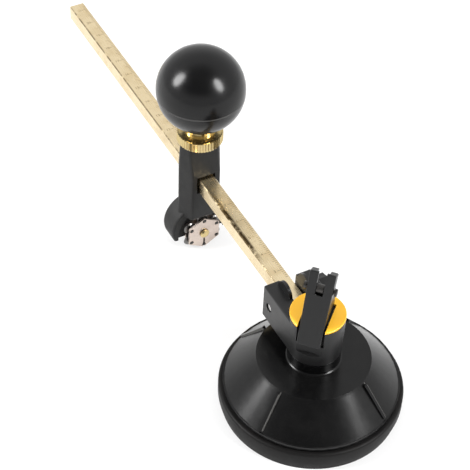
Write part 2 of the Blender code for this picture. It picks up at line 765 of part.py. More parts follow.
def make_swivel_tower(material):
    """Round tower with the bar bracket, the lever's slot and its saddle in one moulding."""
    profile = [
        (0, TOWER_TOP),
        (TOWER_TOP_RADIUS, TOWER_TOP),
        (TOWER_FOOT_RADIUS, TOWER_BOTTOM),
        (0, TOWER_BOTTOM),
    ]
    made = turned("swivel_tower", profile, steps=FINE_STEPS)
    side = BRACKET_WIDTH / 2
    bracket = block(
        "bracket_block",
        (0, -side, TOWER_BOTTOM),
        (BRACKET_LENGTH, side, BRACKET_TOP),
        round_edge=BRACKET_ROUND,
    )
    join(made, bracket)
    for sign, word in ((1, "near"), (-1, "far")):
        start = sign * CHANNEL_HALF
        end = sign * (CHANNEL_HALF + LUG_THICKNESS)
        lug = rod(f"lug_{word}", LUG_RADIUS, (LUG_X, start, LUG_HEIGHT), (LUG_X, end, LUG_HEIGHT))
        join(made, lug)
    low = TOWER_TOP - OVERRUN
    outline = [
        (-SADDLE_BACK, low),
        (slot_back_at(low) + OVERRUN, low),
        (slot_back_at(SADDLE_TOP) + OVERRUN, SADDLE_TOP),
        (-SADDLE_BACK, SADDLE_TOP),
    ]
    join(made, plate("lever_saddle", outline, SADDLE_WIDTH, SLOT_FRAME))
    floor = BAR_MIDDLE - CHANNEL_HALF
    beyond = BRACKET_LENGTH + OVERRUN
    above = LUG_HEIGHT + LUG_RADIUS + OVERRUN
    channel = block("bar_channel", (CHANNEL_START, -CHANNEL_HALF, floor), (beyond, CHANNEL_HALF, above))
    cut(made, channel)
    swing = block(
        "bar_swing_pocket",
        (CHANNEL_START, -CHANNEL_HALF, CHANNEL_POCKET_FLOOR),
        (CHANNEL_REST_START, CHANNEL_HALF, BAR_MIDDLE),
    )
    cut(made, swing)
    hole_side = side + OVERRUN
    pivot_hole = rod(
        "pivot_hole",
        PIVOT_RADIUS + GAP,
        (PIVOT_X, -hole_side, BAR_MIDDLE),
        (PIVOT_X, hole_side, BAR_MIDDLE),
        SMALL_STEPS,
    )
    cut(made, pivot_hole)
    cut(made, plate("lever_slot", slot_outline(), 2 * SLOT_HALF, SLOT_FRAME))
    spigot_bore = rod(
        "spigot_bore", SPIGOT_RADIUS + GAP, (0, 0, TOWER_BOTTOM - OVERRUN), (0, 0, SPIGOT_TOP)
    )
    cut(made, spigot_bore)
    chamber = rod("ring_chamber", CHAMBER_RADIUS, (0, 0, RING_HEIGHT - GAP), (0, 0, CHAMBER_TOP))
    cut(made, chamber)
    rod_bore = rod(
        "rod_bore", BORE_RADIUS, (0, 0, SPIGOT_TOP), (0, 0, PIN_HEIGHT + OVERRUN), SMALL_STEPS
    )
    cut(made, rod_bore)
    return paint(made, material)


def make_top_cap(material):
    """Yellow disc on the tower, open where the lever folds through it."""
    profile = [
        (0, CAP_TOP),
        (TOWER_TOP_RADIUS - CAP_ROUND, CAP_TOP),
        (TOWER_TOP_RADIUS, CAP_TOP - CAP_ROUND),
        (TOWER_TOP_RADIUS, CAP_BOTTOM),
        (0, CAP_BOTTOM),
    ]
    made = turned("top_cap", profile, steps=FINE_STEPS)
    opening = block(
        "cap_opening",
        (-SADDLE_BACK - GAP, CAP_BOTTOM - OVERRUN, -SLOT_HALF),
        (TOWER_TOP_RADIUS + OVERRUN, CAP_TOP + OVERRUN, SLOT_HALF),
        SLOT_FRAME,
    )
    return paint(cut(made, opening), material)


def make_pivot_screw(material):
    """Screw through both cheeks and the beam, held by its knob."""
    tip = BRACKET_WIDTH / 2 - PIVOT_TIP_SINK
    tail = -BRACKET_WIDTH / 2 - GAP - KNOB_THICKNESS / 2
    ends = (PIVOT_X, tail, BAR_MIDDLE), (PIVOT_X, tip, BAR_MIDDLE)
    made = rod("pivot_screw", PIVOT_RADIUS, *ends, SMALL_STEPS)
    return paint(made, material)


def make_pivot_knob(material):
    """Fluted round knob moulded on the screw's end."""
    middle = -BRACKET_WIDTH / 2 - GAP - KNOB_THICKNESS / 2
    place = Matrix.Translation((PIVOT_X, middle, BAR_MIDDLE)) @ FACING_Y
    outline = fluted(KNOB_RADIUS, KNOB_LOBE_DEPTH, KNOB_LOBES, 4)
    made = plate("pivot_knob", outline, KNOB_THICKNESS, place, KNOB_ROUND)
    socket = rod(
        "knob_socket",
        PIVOT_RADIUS + GAP,
        (PIVOT_X, middle - GAP, BAR_MIDDLE),
        (PIVOT_X, -BRACKET_WIDTH / 2 + OVERRUN, BAR_MIDDLE),
        SMALL_STEPS,
    )
    return paint(cut(made, socket), material)


def make_graduated_bar(material):
    """Square brass beam with broken edges and the pivot's hole."""
    made = block(
        "graduated_bar",
        (BAR_START, -BAR_HALF, BAR_MIDDLE - BAR_HALF),
        (BAR_END, BAR_HALF, BAR_TOP),
    )
    bevel(made, BAR_EDGE, 1)
    side = BAR_HALF + OVERRUN
    hole = rod(
        "bar_hole",
        PIVOT_RADIUS + GAP,
        (PIVOT_X, -side, BAR_MIDDLE),
        (PIVOT_X, side, BAR_MIDDLE),
        SMALL_STEPS,
    )
    return paint(cut(made, hole), material)


def slider_outline(end_taper, side_taper):
    """The slider's six corners, drawn in by the tapers at its ends and sides."""
    end = SLIDER_HALF_LENGTH - end_taper
    face = SLIDER_FACE_WIDTH / 2
    side = SLIDER_WIDTH / 2 - side_taper
    return [(-end, -face), (0, -side), (end, -face), (end, face), (0, side), (-end, face)]


def make_slider_body(material):
    """Six-sided block on the beam, with a round foot that shields the turret."""
    straight = slider_outline(0, 0)
    drawn_in = slider_outline(SLIDER_END_TAPER, SLIDER_SIDE_TAPER)
    sections = [
        (straight, SLIDER_FOOT_TOP),
        (straight, WINDOW_ROOF + MOUTH_STEP),
        (drawn_in, SLIDER_TOP),
    ]
    made = lofted("slider_body", sections, Matrix.Translation((SLIDER_X, 0, 0)))
    bevel(made, SLIDER_ROUND)
    foot = rod(
        "slider_foot",
        FOOT_RADIUS,
        (SLIDER_X - FOOT_FRONT, 0, FOOT_CENTRE),
        (SLIDER_X + FOOT_BACK, 0, FOOT_CENTRE),
        FINE_STEPS,
    )
    bevel(foot, FOOT_ROUND)
    join(made, foot)
    far = FOOT_RADIUS + OVERRUN
    front = SLIDER_X - FOOT_FRONT - OVERRUN
    foot_cut = block(
        "foot_cut",
        (front, -far, FOOT_CENTRE - far),
        (SLIDER_X + FOOT_BACK + OVERRUN, far, FOOT_CUT),
    )
    cut(made, foot_cut)
    pocket_floor = SLIDER_X - turret_back() + GAP
    pocket = rod(
        "turret_pocket",
        POCKET_RADIUS,
        (SLIDER_X - SLIDER_HALF_LENGTH - OVERRUN, 0, TURRET_HEIGHT),
        (pocket_floor, 0, TURRET_HEIGHT),
        FINE_STEPS,
    )
    cut(made, pocket)
    pocket_mouth = block(
        "turret_pocket_mouth",
        (front, -POCKET_RADIUS, -OVERRUN),
        (pocket_floor, POCKET_RADIUS, TURRET_HEIGHT),
    )
    cut(made, pocket_mouth)
    floor = BAR_MIDDLE - CHANNEL_HALF
    reach = SLIDER_HALF_LENGTH + OVERRUN
    window = block(
        "bar_window",
        (SLIDER_X - reach, -CHANNEL_HALF, floor),
        (SLIDER_X + reach, CHANNEL_HALF, WINDOW_ROOF),
    )
    cut(made, window)
    for sign, word in ((-1, "front"), (1, "rear")):
        ends = sorted((SLIDER_X + sign * (SLIDER_HALF_LENGTH - MOUTH_DEPTH), SLIDER_X + sign * reach))
        mouth = block(
            f"window_mouth_{word}",
            (ends[0], -CHANNEL_HALF - MOUTH_STEP, floor - MOUTH_STEP),
            (ends[1], CHANNEL_HALF + MOUTH_STEP, WINDOW_ROOF + MOUTH_STEP),
        )
        cut(made, mouth)
    shoe_pocket = block(
        "shoe_pocket",
        (SLIDER_X - SHOE_HALF_LENGTH - GAP, -SHOE_HALF_WIDTH - GAP, BAR_TOP),
        (SLIDER_X + SHOE_HALF_LENGTH + GAP, SHOE_HALF_WIDTH + GAP, SHOE_ROOF),
    )
    cut(made, shoe_pocket)
    stud_bore = rod(
        "stud_bore",
        STUD_RADIUS + GAP,
        (SLIDER_X, 0, BAR_TOP),
        (SLIDER_X, 0, SLIDER_TOP + OVERRUN),
        SMALL_STEPS,
    )
    cut(made, stud_bore)
    screw_bore = rod(
        "turret_screw_bore",
        SCREW_RADIUS + GAP,
        (front, 0, TURRET_HEIGHT),
        (SLIDER_X + FOOT_BACK + OVERRUN, 0, TURRET_HEIGHT),
        SMALL_STEPS,
    )
    cut(made, screw_bore)
    return paint(made, material)


def turret_layers():
    """How far in front of the slider's middle each turret layer starts and ends."""
    plate_back = TURRET_FRONT - TURRET_PLATE_THICKNESS
    core_front = plate_back - GAP
    core_back = core_front - TURRET_CORE_THICKNESS
    rear_front = core_back - GAP
    rear_back = rear_front - TURRET_PLATE_THICKNESS
    return (TURRET_FRONT, plate_back), (core_front, core_back), (rear_front, rear_back)


def turret_back():
    """How far in front of the slider's middle the turret's rear face is."""
    return turret_layers()[2][1]


def wheel_places():
    """Where the wheels' axes cross the Y-Z plane, the lowest wheel first."""
    places = []
    for i in range(WHEEL_COUNT):
        angle = -math.pi / 2 + 2 * math.pi * i / WHEEL_COUNT
        places.append((WHEEL_ORBIT * math.cos(angle), TURRET_HEIGHT + WHEEL_ORBIT * math.sin(angle)))
    return places


def make_clamp_shoe(material):
    """Brass shoe that the stud presses on the beam."""
    made = block(
        "clamp_shoe",
        (SLIDER_X - SHOE_HALF_LENGTH, -SHOE_HALF_WIDTH, SHOE_BOTTOM),
        (SLIDER_X + SHOE_HALF_LENGTH, SHOE_HALF_WIDTH, SHOE_TOP),
    )
    bevel(made, SHOE_ROUND)
    return paint(made, material)


def make_handle_stud(material):
    """Steel stud from the shoe up into the ball."""
    made = rod(
        "handle_stud",
        STUD_RADIUS,
        (SLIDER_X, 0, SHOE_ROOF),
        (SLIDER_X, 0, STUD_TOP),
        SMALL_STEPS,
    )
    return paint(made, material)


def make_knurled_nut(material):
    """Brass lock nut: toothed rim with a coned hub."""
    place = Matrix.Translation((SLIDER_X, 0, (NUT_BOTTOM + NUT_RIM_TOP) / 2))
    outline = fluted(NUT_RADIUS, NUT_TOOTH_DEPTH, NUT_TEETH, 2)
    made = plate("knurled_nut", outline, NUT_THICKNESS, place)
    hub_profile = [
        (0, NUT_HUB_TOP),
        (NUT_HUB_RADIUS, NUT_HUB_TOP),
        (NUT_HUB_RADIUS, NUT_RIM_TOP + NUT_TOOTH_DEPTH),
        (NUT_RADIUS - 2 * NUT_TOOTH_DEPTH, NUT_RIM_TOP),
        (NUT_RADIUS - 2 * NUT_TOOTH_DEPTH, NUT_RIM_TOP - NUT_TOOTH_DEPTH),
        (0, NUT_RIM_TOP - NUT_TOOTH_DEPTH),
    ]
    hub = turned("nut_hub", hub_profile, matrix=Matrix.Translation((SLIDER_X, 0, 0)))
    join(made, hub)
    bore = rod(
        "nut_bore",
        STUD_RADIUS + GAP,
        (SLIDER_X, 0, SLIDER_TOP),
        (SLIDER_X, 0, NUT_HUB_TOP + OVERRUN),
        SMALL_STEPS,
    )
    return paint(cut(made, bore), material)


def make_ball_handle(material):
    """Black ball with its parting line, flat below, bored for its insert."""
    centre = (0, BALL_HEIGHT)
    seam_top = -math.asin((BALL_SEAM_DROP - BALL_SEAM_WIDTH / 2) / BALL_RADIUS)
    seam_bottom = -math.asin((BALL_SEAM_DROP + BALL_SEAM_WIDTH / 2) / BALL_RADIUS)
    flat_edge = -math.asin(BALL_RISE / BALL_RADIUS)
    bore_radius = INSERT_RADIUS + GAP
    profile = [
        (0, BALL_HEIGHT + BALL_RADIUS),
        *arc(centre, BALL_RADIUS, math.pi / 2, seam_top, 14)[1:],
        (BALL_RADIUS - BALL_SEAM_DEPTH, BALL_HEIGHT - BALL_SEAM_DROP),
        *arc(centre, BALL_RADIUS, seam_bottom, flat_edge, 10),
        (bore_radius, BALL_FLAT),
        (bore_radius, INSERT_TOP + GAP),
        (0, INSERT_TOP + GAP),
    ]
    place = Matrix.Translation((SLIDER_X, 0, 0))
    return paint(turned("ball_handle", profile, steps=FINE_STEPS, matrix=place), material)


def make_ball_insert(material):
    """Brass insert in the ball, bored blind for the stud."""
    flange_top = INSERT_BOTTOM + INSERT_FLANGE_THICKNESS
    flange_radius = INSERT_RADIUS + INSERT_FLANGE_WIDTH
    bore_radius = STUD_RADIUS + GAP
    profile = [
        (0, INSERT_TOP),
        (INSERT_RADIUS, INSERT_TOP),
        (INSERT_RADIUS, flange_top),
        (flange_radius, flange_top),
        (flange_radius, INSERT_BOTTOM),
        (bore_radius, INSERT_BOTTOM),
        (bore_radius, INSERT_TOP - INSERT_CROWN),
        (0, INSERT_TOP - INSERT_CROWN),
    ]
    place = Matrix.Translation((SLIDER_X, 0, 0))
    return paint(turned("ball_insert", profile, steps=SMALL_STEPS, matrix=place), material)


def make_turret_plate(name, layer, material, slotted):
    """Six-cornered plate of the turret, with a hole over each wheel's axle."""
    front, back = layer
    thickness = front - back
    place = Matrix.Translation((SLIDER_X - (front + back) / 2, 0, TURRET_HEIGHT)) @ FACING_X
    made = plate(name, polygon(TURRET_PLATE_RADIUS, WHEEL_COUNT, math.pi / 2), thickness, place)
    ends = SLIDER_X - front - OVERRUN, SLIDER_X - back + OVERRUN
    holes = [(0, TURRET_HEIGHT, SCREW_RADIUS + GAP)]
    holes += [(y, z, AXLE_RADIUS + GAP) for y, z in wheel_places()]
    for i, (y, z, radius) in enumerate(holes):
        cut(made, rod(f"{name}_hole_{i}", radius, (ends[0], y, z), (ends[1], y, z), SMALL_STEPS // 2))
    if slotted:
        half = TURRET_SLOT_WIDTH / 2
        slot = block(
            f"{name}_slot",
            (ends[0], -half, TURRET_HEIGHT - TURRET_PLATE_RADIUS - OVERRUN),
            (ends[1], half, TURRET_HEIGHT - TURRET_SLOT_START),
        )
        cut(made, slot)
    return paint(made, material)


def make_turret_core(material):
    """Spacer between the turret's plates."""
    front, back = turret_layers()[1]
    profile = [
        (SCREW_RADIUS + GAP, -back),
        (TURRET_CORE_RADIUS, -back),
        (TURRET_CORE_RADIUS, -front),
        (SCREW_RADIUS + GAP, -front),
    ]
    place = Matrix.Translation((SLIDER_X, 0, TURRET_HEIGHT)) @ FACING_X
    made = turned("turret_core", profile, closed=True, steps=SMALL_STEPS, matrix=place)
    return paint(made, material)


def make_wheel_axle(index, place, material):
    """Pin through both plates that one wheel turns on."""
    y, z = place
    front = SLIDER_X - TURRET_FRONT - AXLE_PROUD
    back = SLIDER_X - turret_back() + AXLE_PROUD
    name = f"wheel_axle_{index}"
    made = rod(name, AXLE_RADIUS, (front, y, z), (back, y, z), SMALL_STEPS // 2)
    return paint(made, material)


def make_wheel(index, place, material):
    """Cutting wheel: a sharp-rimmed disc with a bore, its origin on its axis."""
    half = WHEEL_THICKNESS / 2
    profile = [
        (AXLE_RADIUS + GAP, half),
        (WHEEL_SHOULDER_RADIUS, half),
        (WHEEL_RADIUS, 0),
        (WHEEL_SHOULDER_RADIUS, -half),
        (AXLE_RADIUS + GAP, -half),
    ]
    front, back = turret_layers()[1]
    y, z = place
    matrix = Matrix.Translation((SLIDER_X - (front + back) / 2, y, z)) @ FACING_X
    name = f"wheel_{index}"
    return paint(turned(name, profile, closed=True, steps=SMALL_STEPS, matrix=matrix), material)


def make_turret_screw(material):
    """Brass screw that the turret turns on, with a low round head."""
    head_back = TURRET_FRONT + GAP
    head_front = head_back + SCREW_HEAD_THICKNESS
    nut_end = FOOT_BACK + GAP + HEX_NUT_THICKNESS
    profile = [
        (0, nut_end),
        (SCREW_RADIUS, nut_end),
        (SCREW_RADIUS, -head_back),
        (SCREW_HEAD_RADIUS, -head_back),
        (SCREW_HEAD_RADIUS, -(head_back + head_front) / 2),
        (SCREW_RADIUS, -head_front),
        (0, -head_front),
    ]
    place = Matrix.Translation((SLIDER_X, 0, TURRET_HEIGHT)) @ FACING_X
    return paint(turned("turret_screw", profile, steps=SMALL_STEPS, matrix=place), material)


def make_turret_nut(material):
    """Hexagon nut on the screw, behind the foot."""
    front = SLIDER_X + FOOT_BACK + GAP
    middle = front + HEX_NUT_THICKNESS / 2
    place = Matrix.Translation((middle, 0, TURRET_HEIGHT)) @ FACING_X
    made = plate("turret_nut", polygon(HEX_NUT_RADIUS, 6), HEX_NUT_THICKNESS, place)
    reach = HEX_NUT_THICKNESS / 2 + OVERRUN
    bore = rod(
        "nut_thread",
        SCREW_RADIUS + GAP,
        (middle - reach, 0, TURRET_HEIGHT),
        (middle + reach, 0, TURRET_HEIGHT),
        SMALL_STEPS,
    )
    return paint(cut(made, bore), material)


def main():
    """Clears the scene and builds every piece."""
    for old in list(bpy.data.objects):
        bpy.data.objects.remove(old)
    new_collection(PARTS)
    new_collection(CUTTERS)
    rubber = new_material("black_rubber", (0.018, 0.018, 0.018), 0.55)
    shell = new_material("black_moulding", (0.012, 0.012, 0.013), 0.25)
    satin = new_material("satin_moulding", (0.030, 0.030, 0.032), 0.40)
    ball = new_material("ball_plastic", (0.008, 0.008, 0.009), 0.15)
    yellow = new_material("yellow_cap", (0.85, 0.45, 0.03), 0.30)
    brass = new_material("beam_brass", (0.86, 0.66, 0.34), 0.25, 1.0)
    nut_brass = new_material("nut_brass", (0.80, 0.56, 0.20), 0.22, 1.0)
    steel = new_material("plain_steel", (0.55, 0.55, 0.57), 0.30, 1.0)
    dark_steel = new_material("dark_steel", (0.10, 0.10, 0.105), 0.35, 1.0)
    plated = new_material("plated_steel", (0.78, 0.78, 0.78), 0.28, 1.0)
    carbide = new_material("wheel_carbide", (0.35, 0.35, 0.37), 0.30, 1.0)

    make_suction_cup(rubber)
    make_base_housing(shell)
    make_cup_spring(steel)
    make_retaining_ring(steel)
    make_pull_rod(dark_steel)
    make_cam_lever(satin)
    make_lever_pin(dark_steel)
    make_swivel_tower(satin)
    make_top_cap(yellow)
    make_pivot_screw(steel)
    make_pivot_knob(satin)
    make_graduated_bar(brass)
    make_slider_body(satin)
    make_clamp_shoe(nut_brass)
    make_handle_stud(steel)
    make_knurled_nut(nut_brass)
    make_ball_handle(ball)
    make_ball_insert(nut_brass)
    layers = turret_layers()
    make_turret_plate("turret_front_plate", layers[0], plated, True)
    make_turret_core(plated)
    make_turret_plate("turret_rear_plate", layers[2], plated, False)
    for index, place in enumerate(wheel_places(), start=1):
        make_wheel_axle(index, place, steel)
        make_wheel(index, place, carbide)
    make_turret_screw(nut_brass)
    make_turret_nut(steel)


main()
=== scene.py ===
"""Circle cutter: a suction foot, a swivelling tower with its lever, a brass beam and
the slider with its ball handle and six-wheel turret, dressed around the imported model."""

import math

import bmesh
import bpy
from mathutils import Matrix, Vector


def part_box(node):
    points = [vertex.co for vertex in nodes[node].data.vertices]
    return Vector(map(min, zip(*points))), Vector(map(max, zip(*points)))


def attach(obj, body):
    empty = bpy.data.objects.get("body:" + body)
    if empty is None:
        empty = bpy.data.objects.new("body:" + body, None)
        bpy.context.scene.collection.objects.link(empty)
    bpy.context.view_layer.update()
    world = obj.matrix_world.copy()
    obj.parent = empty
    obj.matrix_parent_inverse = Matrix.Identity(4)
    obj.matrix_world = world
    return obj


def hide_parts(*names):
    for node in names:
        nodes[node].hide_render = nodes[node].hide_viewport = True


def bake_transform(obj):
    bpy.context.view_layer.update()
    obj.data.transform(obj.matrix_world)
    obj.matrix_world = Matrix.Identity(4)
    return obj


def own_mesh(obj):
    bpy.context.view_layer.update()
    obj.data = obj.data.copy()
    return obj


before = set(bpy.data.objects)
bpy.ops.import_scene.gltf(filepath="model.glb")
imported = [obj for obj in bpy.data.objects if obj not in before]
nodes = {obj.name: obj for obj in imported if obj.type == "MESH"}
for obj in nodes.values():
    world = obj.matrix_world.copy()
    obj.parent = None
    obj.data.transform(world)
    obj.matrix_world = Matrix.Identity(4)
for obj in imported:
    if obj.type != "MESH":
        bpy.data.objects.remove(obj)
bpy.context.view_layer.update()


# Camera. It stands behind the foot and above it, looking along the beam from its
# tower end, at the place that was solved from the photograph's outlines.
CAMERA_PLACE = Vector((-0.29976, 0.20784, 0.44684))
CAMERA_RIGHT = Vector((-0.46939504, -0.88240247, 0.03215872))
CAMERA_UP = Vector((0.63409621, -0.3115154, 0.70772886))
FILM_WIDTH = 36.0
FOCAL_LENGTH = 115.13
NEAREST_SEEN = 0.01
FURTHEST_SEEN = 20

camera = bpy.data.objects.new("studio_camera", bpy.data.cameras.new("studio_camera"))
bpy.context.scene.collection.objects.link(camera)
camera.data.sensor_fit = "HORIZONTAL"
camera.data.sensor_width = FILM_WIDTH
camera.data.lens = FOCAL_LENGTH
camera.data.clip_start = NEAREST_SEEN
camera.data.clip_end = FURTHEST_SEEN
camera_back = CAMERA_RIGHT.cross(CAMERA_UP)
looking = Matrix((CAMERA_RIGHT, CAMERA_UP, camera_back)).transposed().to_4x4()
looking.translation = CAMERA_PLACE
camera.matrix_world = looking
bpy.context.scene.camera = camera


# Suction cup. A moulded rubber disc, its edge rounded over and a little dusty, that
# presses flat on the glass under the housing. Its boss, moulded round the rod's plate,
# is turned as a piece of its own.
CUP_RADIUS = 0.0350
CUP_LIP_RADIUS = 0.0340
CUP_WEB = 0.0040
CUP_BEAD_TOP = 0.0092
CUP_BEAD_ROUND = 0.0011
CUP_BEAD_INNER = 0.0318
CUP_BOSS_RADIUS = 0.0125
CUP_BOSS_TOP = 0.0090
CUP_BOSS_ROOT = 0.0030
CUP_BORE_RADIUS = 0.0017
POCKET_RADIUS = 0.0103
POCKET_LOW = 0.0042
POCKET_HIGH = 0.0060
CUP_STEPS = 96
BEAD_STEPS = 5
WELD = 0.000002
CREASE_ANGLE = math.radians(20.0)
FLAT_ANGLE = math.radians(0.6)
EDGE_SEGMENTS = 2
NOISE_MIDDLE = 0.5
DUST_DULLS = 0.25
WAVES_TO_GRAIN = 2.0


def add_socket(group, name, way, kind="NodeSocketFloat", value=None, low=None, high=None):
    """A named input or output of a shader group."""
    socket = group.interface.new_socket(name=name, in_out=way, socket_type=kind)
    if value is not None:
        socket.default_value = value
    if low is not None:
        socket.min_value = low
    if high is not None:
        socket.max_value = high
    return socket


def add_node(tree, kind, **settings):
    """A shader node with its settings."""
    made = tree.nodes.new(kind)
    for name, value in settings.items():
        setattr(made, name, value)
    return made


def maths(tree, operation, first, second=None, third=None, clamp=False):
    """A Math node on sockets or numbers; returns its result."""
    made = add_node(tree, "ShaderNodeMath", operation=operation, use_clamp=clamp)
    for slot, value in enumerate((first, second, third)):
        if value is None:
            continue
        if isinstance(value, (int, float)):
            made.inputs[slot].default_value = value
        else:
            tree.links.new(value, made.inputs[slot])
    return made.outputs[0]


def mix_colour(tree, share, first, second, blend="MIX"):
    """A colour Mix node on sockets or colours; returns its result."""
    made = add_node(tree, "ShaderNodeMix", data_type="RGBA", blend_type=blend)
    for slot, value in ((0, share), (6, first), (7, second)):
        if isinstance(value, (int, float)):
            made.inputs[slot].default_value = value
        elif isinstance(value, tuple):
            made.inputs[slot].default_value = (*value, 1.0)
        else:
            tree.links.new(value, made.inputs[slot])
    return made.outputs[2]


def ramp(tree, value, low, high):
    """A smooth step between two values; returns its result."""
    made = add_node(tree, "ShaderNodeMapRange", interpolation_type="SMOOTHSTEP")
    tree.links.new(value, made.inputs["Value"])
    for name, edge in (("From Min", low), ("From Max", high)):
        if isinstance(edge, (int, float)):
            made.inputs[name].default_value = edge
        else:
            tree.links.new(edge, made.inputs[name])
    return made.outputs["Result"]


def noise(tree, place, scale, detail=3.0, roughness=0.55):
    """A noise texture at a place; returns its value."""
    made = add_node(tree, "ShaderNodeTexNoise")
    made.inputs["Detail"].default_value = detail
    made.inputs["Roughness"].default_value = roughness
    if isinstance(scale, (int, float)):
        made.inputs["Scale"].default_value = scale
    else:
        tree.links.new(scale, made.inputs["Scale"])
    tree.links.new(place, made.inputs["Vector"])
    return made.outputs["Fac"]


def make_moulded_skin():
    """Group: a moulded surface with fine grain, scuffs and dust that lies on top."""
    group = bpy.data.node_groups.new("moulded_skin", "ShaderNodeTree")
    add_socket(group, "Colour", "INPUT", "NodeSocketColor", (0.01, 0.01, 0.01, 1))
    add_socket(group, "Dust Colour", "INPUT", "NodeSocketColor", (0.05, 0.05, 0.05, 1))
    add_socket(group, "Dust", "INPUT", value=0.2, low=0, high=1)
    add_socket(group, "Roughness", "INPUT", value=0.3, low=0, high=1)
    add_socket(group, "Scuff", "INPUT", value=0.08, low=0, high=1)
    add_socket(group, "Grain Scale", "INPUT", value=1800)
    add_socket(group, "Colour", "OUTPUT", "NodeSocketColor")
    add_socket(group, "Roughness", "OUTPUT")
    add_socket(group, "Height", "OUTPUT")
    given = add_node(group, "NodeGroupInput")
    result = add_node(group, "NodeGroupOutput")
    place = add_node(group, "ShaderNodeTexCoord").outputs["Object"]
    facing = add_node(group, "ShaderNodeNewGeometry").outputs["Normal"]
    upward = add_node(group, "ShaderNodeSeparateXYZ")
    group.links.new(facing, upward.inputs[0])
    lying = ramp(group, upward.outputs["Z"], low=0.1, high=1.0)
    clouds = ramp(group, noise(group, place, scale=70.0, detail=4.0), low=0.42, high=0.72)
    specks = ramp(group, noise(group, place, scale=900.0, detail=2.0), low=0.60, high=0.74)
    settled = maths(group, "MULTIPLY", lying, maths(group, "MAXIMUM", clouds, specks))
    dusted = maths(group, "MULTIPLY", settled, given.outputs["Dust"], clamp=True)
    colour = mix_colour(group, dusted, given.outputs["Colour"], given.outputs["Dust Colour"])
    group.links.new(colour, result.inputs["Colour"])
    rubbed = noise(group, place, scale=240.0, detail=5.0, roughness=0.65)
    centred = maths(group, "SUBTRACT", rubbed, NOISE_MIDDLE)
    spread = maths(group, "MULTIPLY", centred, given.outputs["Scuff"])
    rough = maths(group, "ADD", given.outputs["Roughness"], spread)
    rough = maths(group, "ADD", rough, maths(group, "MULTIPLY", dusted, DUST_DULLS), clamp=True)
    group.links.new(rough, result.inputs["Roughness"])
    grain = noise(group, place, scale=given.outputs["Grain Scale"], detail=2.0)
    waves = noise(group, place, scale=90.0, detail=1.0)
    waves = maths(group, "MULTIPLY", waves, WAVES_TO_GRAIN)
    group.links.new(maths(group, "ADD", grain, waves), result.inputs["Height"])
    return group


moulded_skin = make_moulded_skin()


def new_finish(name, group, values, bump, **sockets):
    """A material fed by a shader group, with the height of its bumps in metres."""
    material = bpy.data.materials.new(name)
    material.use_nodes = True
    tree = material.node_tree
    shader = tree.nodes["Principled BSDF"]
    for socket, value in sockets.items():
        shader.inputs[socket.replace("_", " ")].default_value = value
    surface = add_node(tree, "ShaderNodeGroup", node_tree=group)
    for socket, value in values.items():
        if isinstance(value, tuple):
            value = (*value, 1.0)
        surface.inputs[socket].default_value = value
    tree.links.new(surface.outputs["Colour"], shader.inputs["Base Color"])
    tree.links.new(surface.outputs["Roughness"], shader.inputs["Roughness"])
    bumps = add_node(tree, "ShaderNodeBump")
    bumps.inputs["Strength"].default_value = 1.0
    bumps.inputs["Distance"].default_value = bump
    tree.links.new(surface.outputs["Height"], bumps.inputs["Height"])
    tree.links.new(bumps.outputs["Normal"], shader.inputs["Normal"])
    return material


def overlay(material, mask, colour):
    """Lays a colour over a finish where a mask says."""
    tree = material.node_tree
    base = tree.nodes["Principled BSDF"].inputs["Base Color"]
    tree.links.new(mix_colour(tree, mask, base.links[0].from_socket, colour), base)


def coordinates(tree):
    """The three coordinates of a surface point in the object's own space."""
    parts = add_node(tree, "ShaderNodeSeparateXYZ")
    tree.links.new(add_node(tree, "ShaderNodeTexCoord").outputs["Object"], parts.inputs[0])
    return parts.outputs["X"], parts.outputs["Y"], parts.outputs["Z"]


def dress(node, material):
    """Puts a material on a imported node."""
    for slot in nodes[node].material_slots:
        slot.material = material


rubber = new_finish(
    "cup_rubber",
    moulded_skin,
    {
        "Colour": (0.0060, 0.0057, 0.0056),
        "Dust Colour": (0.045, 0.042, 0.040),
        "Dust": 0.12,
        "Roughness": 0.48,
        "Scuff": 0.20,
        "Grain Scale": 1500.0,
    },
    bump=0.00001,
    Specular_IOR_Level=0.13,
)


def new_piece(name, work, material):
    """A piece from a mesh under construction, which it uses up."""
    mesh = bpy.data.meshes.new(name)
    work.to_mesh(mesh)
    work.free()
    mesh.materials.append(material)
    piece = bpy.data.objects.new(name, mesh)
    bpy.context.scene.collection.objects.link(piece)
    return piece


def smooth_piece(name, work, material):
    """A piece from a mesh under construction, smooth but at its real edges."""
    for face in work.faces:
        face.smooth = True
    for edge in work.edges:
        edge.smooth = edge.is_manifold and edge.calc_face_angle() < CREASE_ANGLE
    return new_piece(name, work, material)


def turned_form(profile):
    """A mesh under construction: a closed profile of radius and height, turned round."""
    work = bmesh.new()
    points = [work.verts.new((radius, 0, height)) for radius, height in profile]
    loop = [work.edges.new(pair) for pair in zip(points, points[1:])]
    full_turn = {"cent": (0, 0, 0), "axis": (0, 0, 1), "angle": math.tau, "steps": CUP_STEPS}
    bmesh.ops.spin(work, geom=points + loop, use_duplicate=False, **full_turn)
    bmesh.ops.remove_doubles(work, verts=work.verts, dist=WELD)
    bmesh.ops.recalc_face_normals(work, faces=work.faces)
    return work


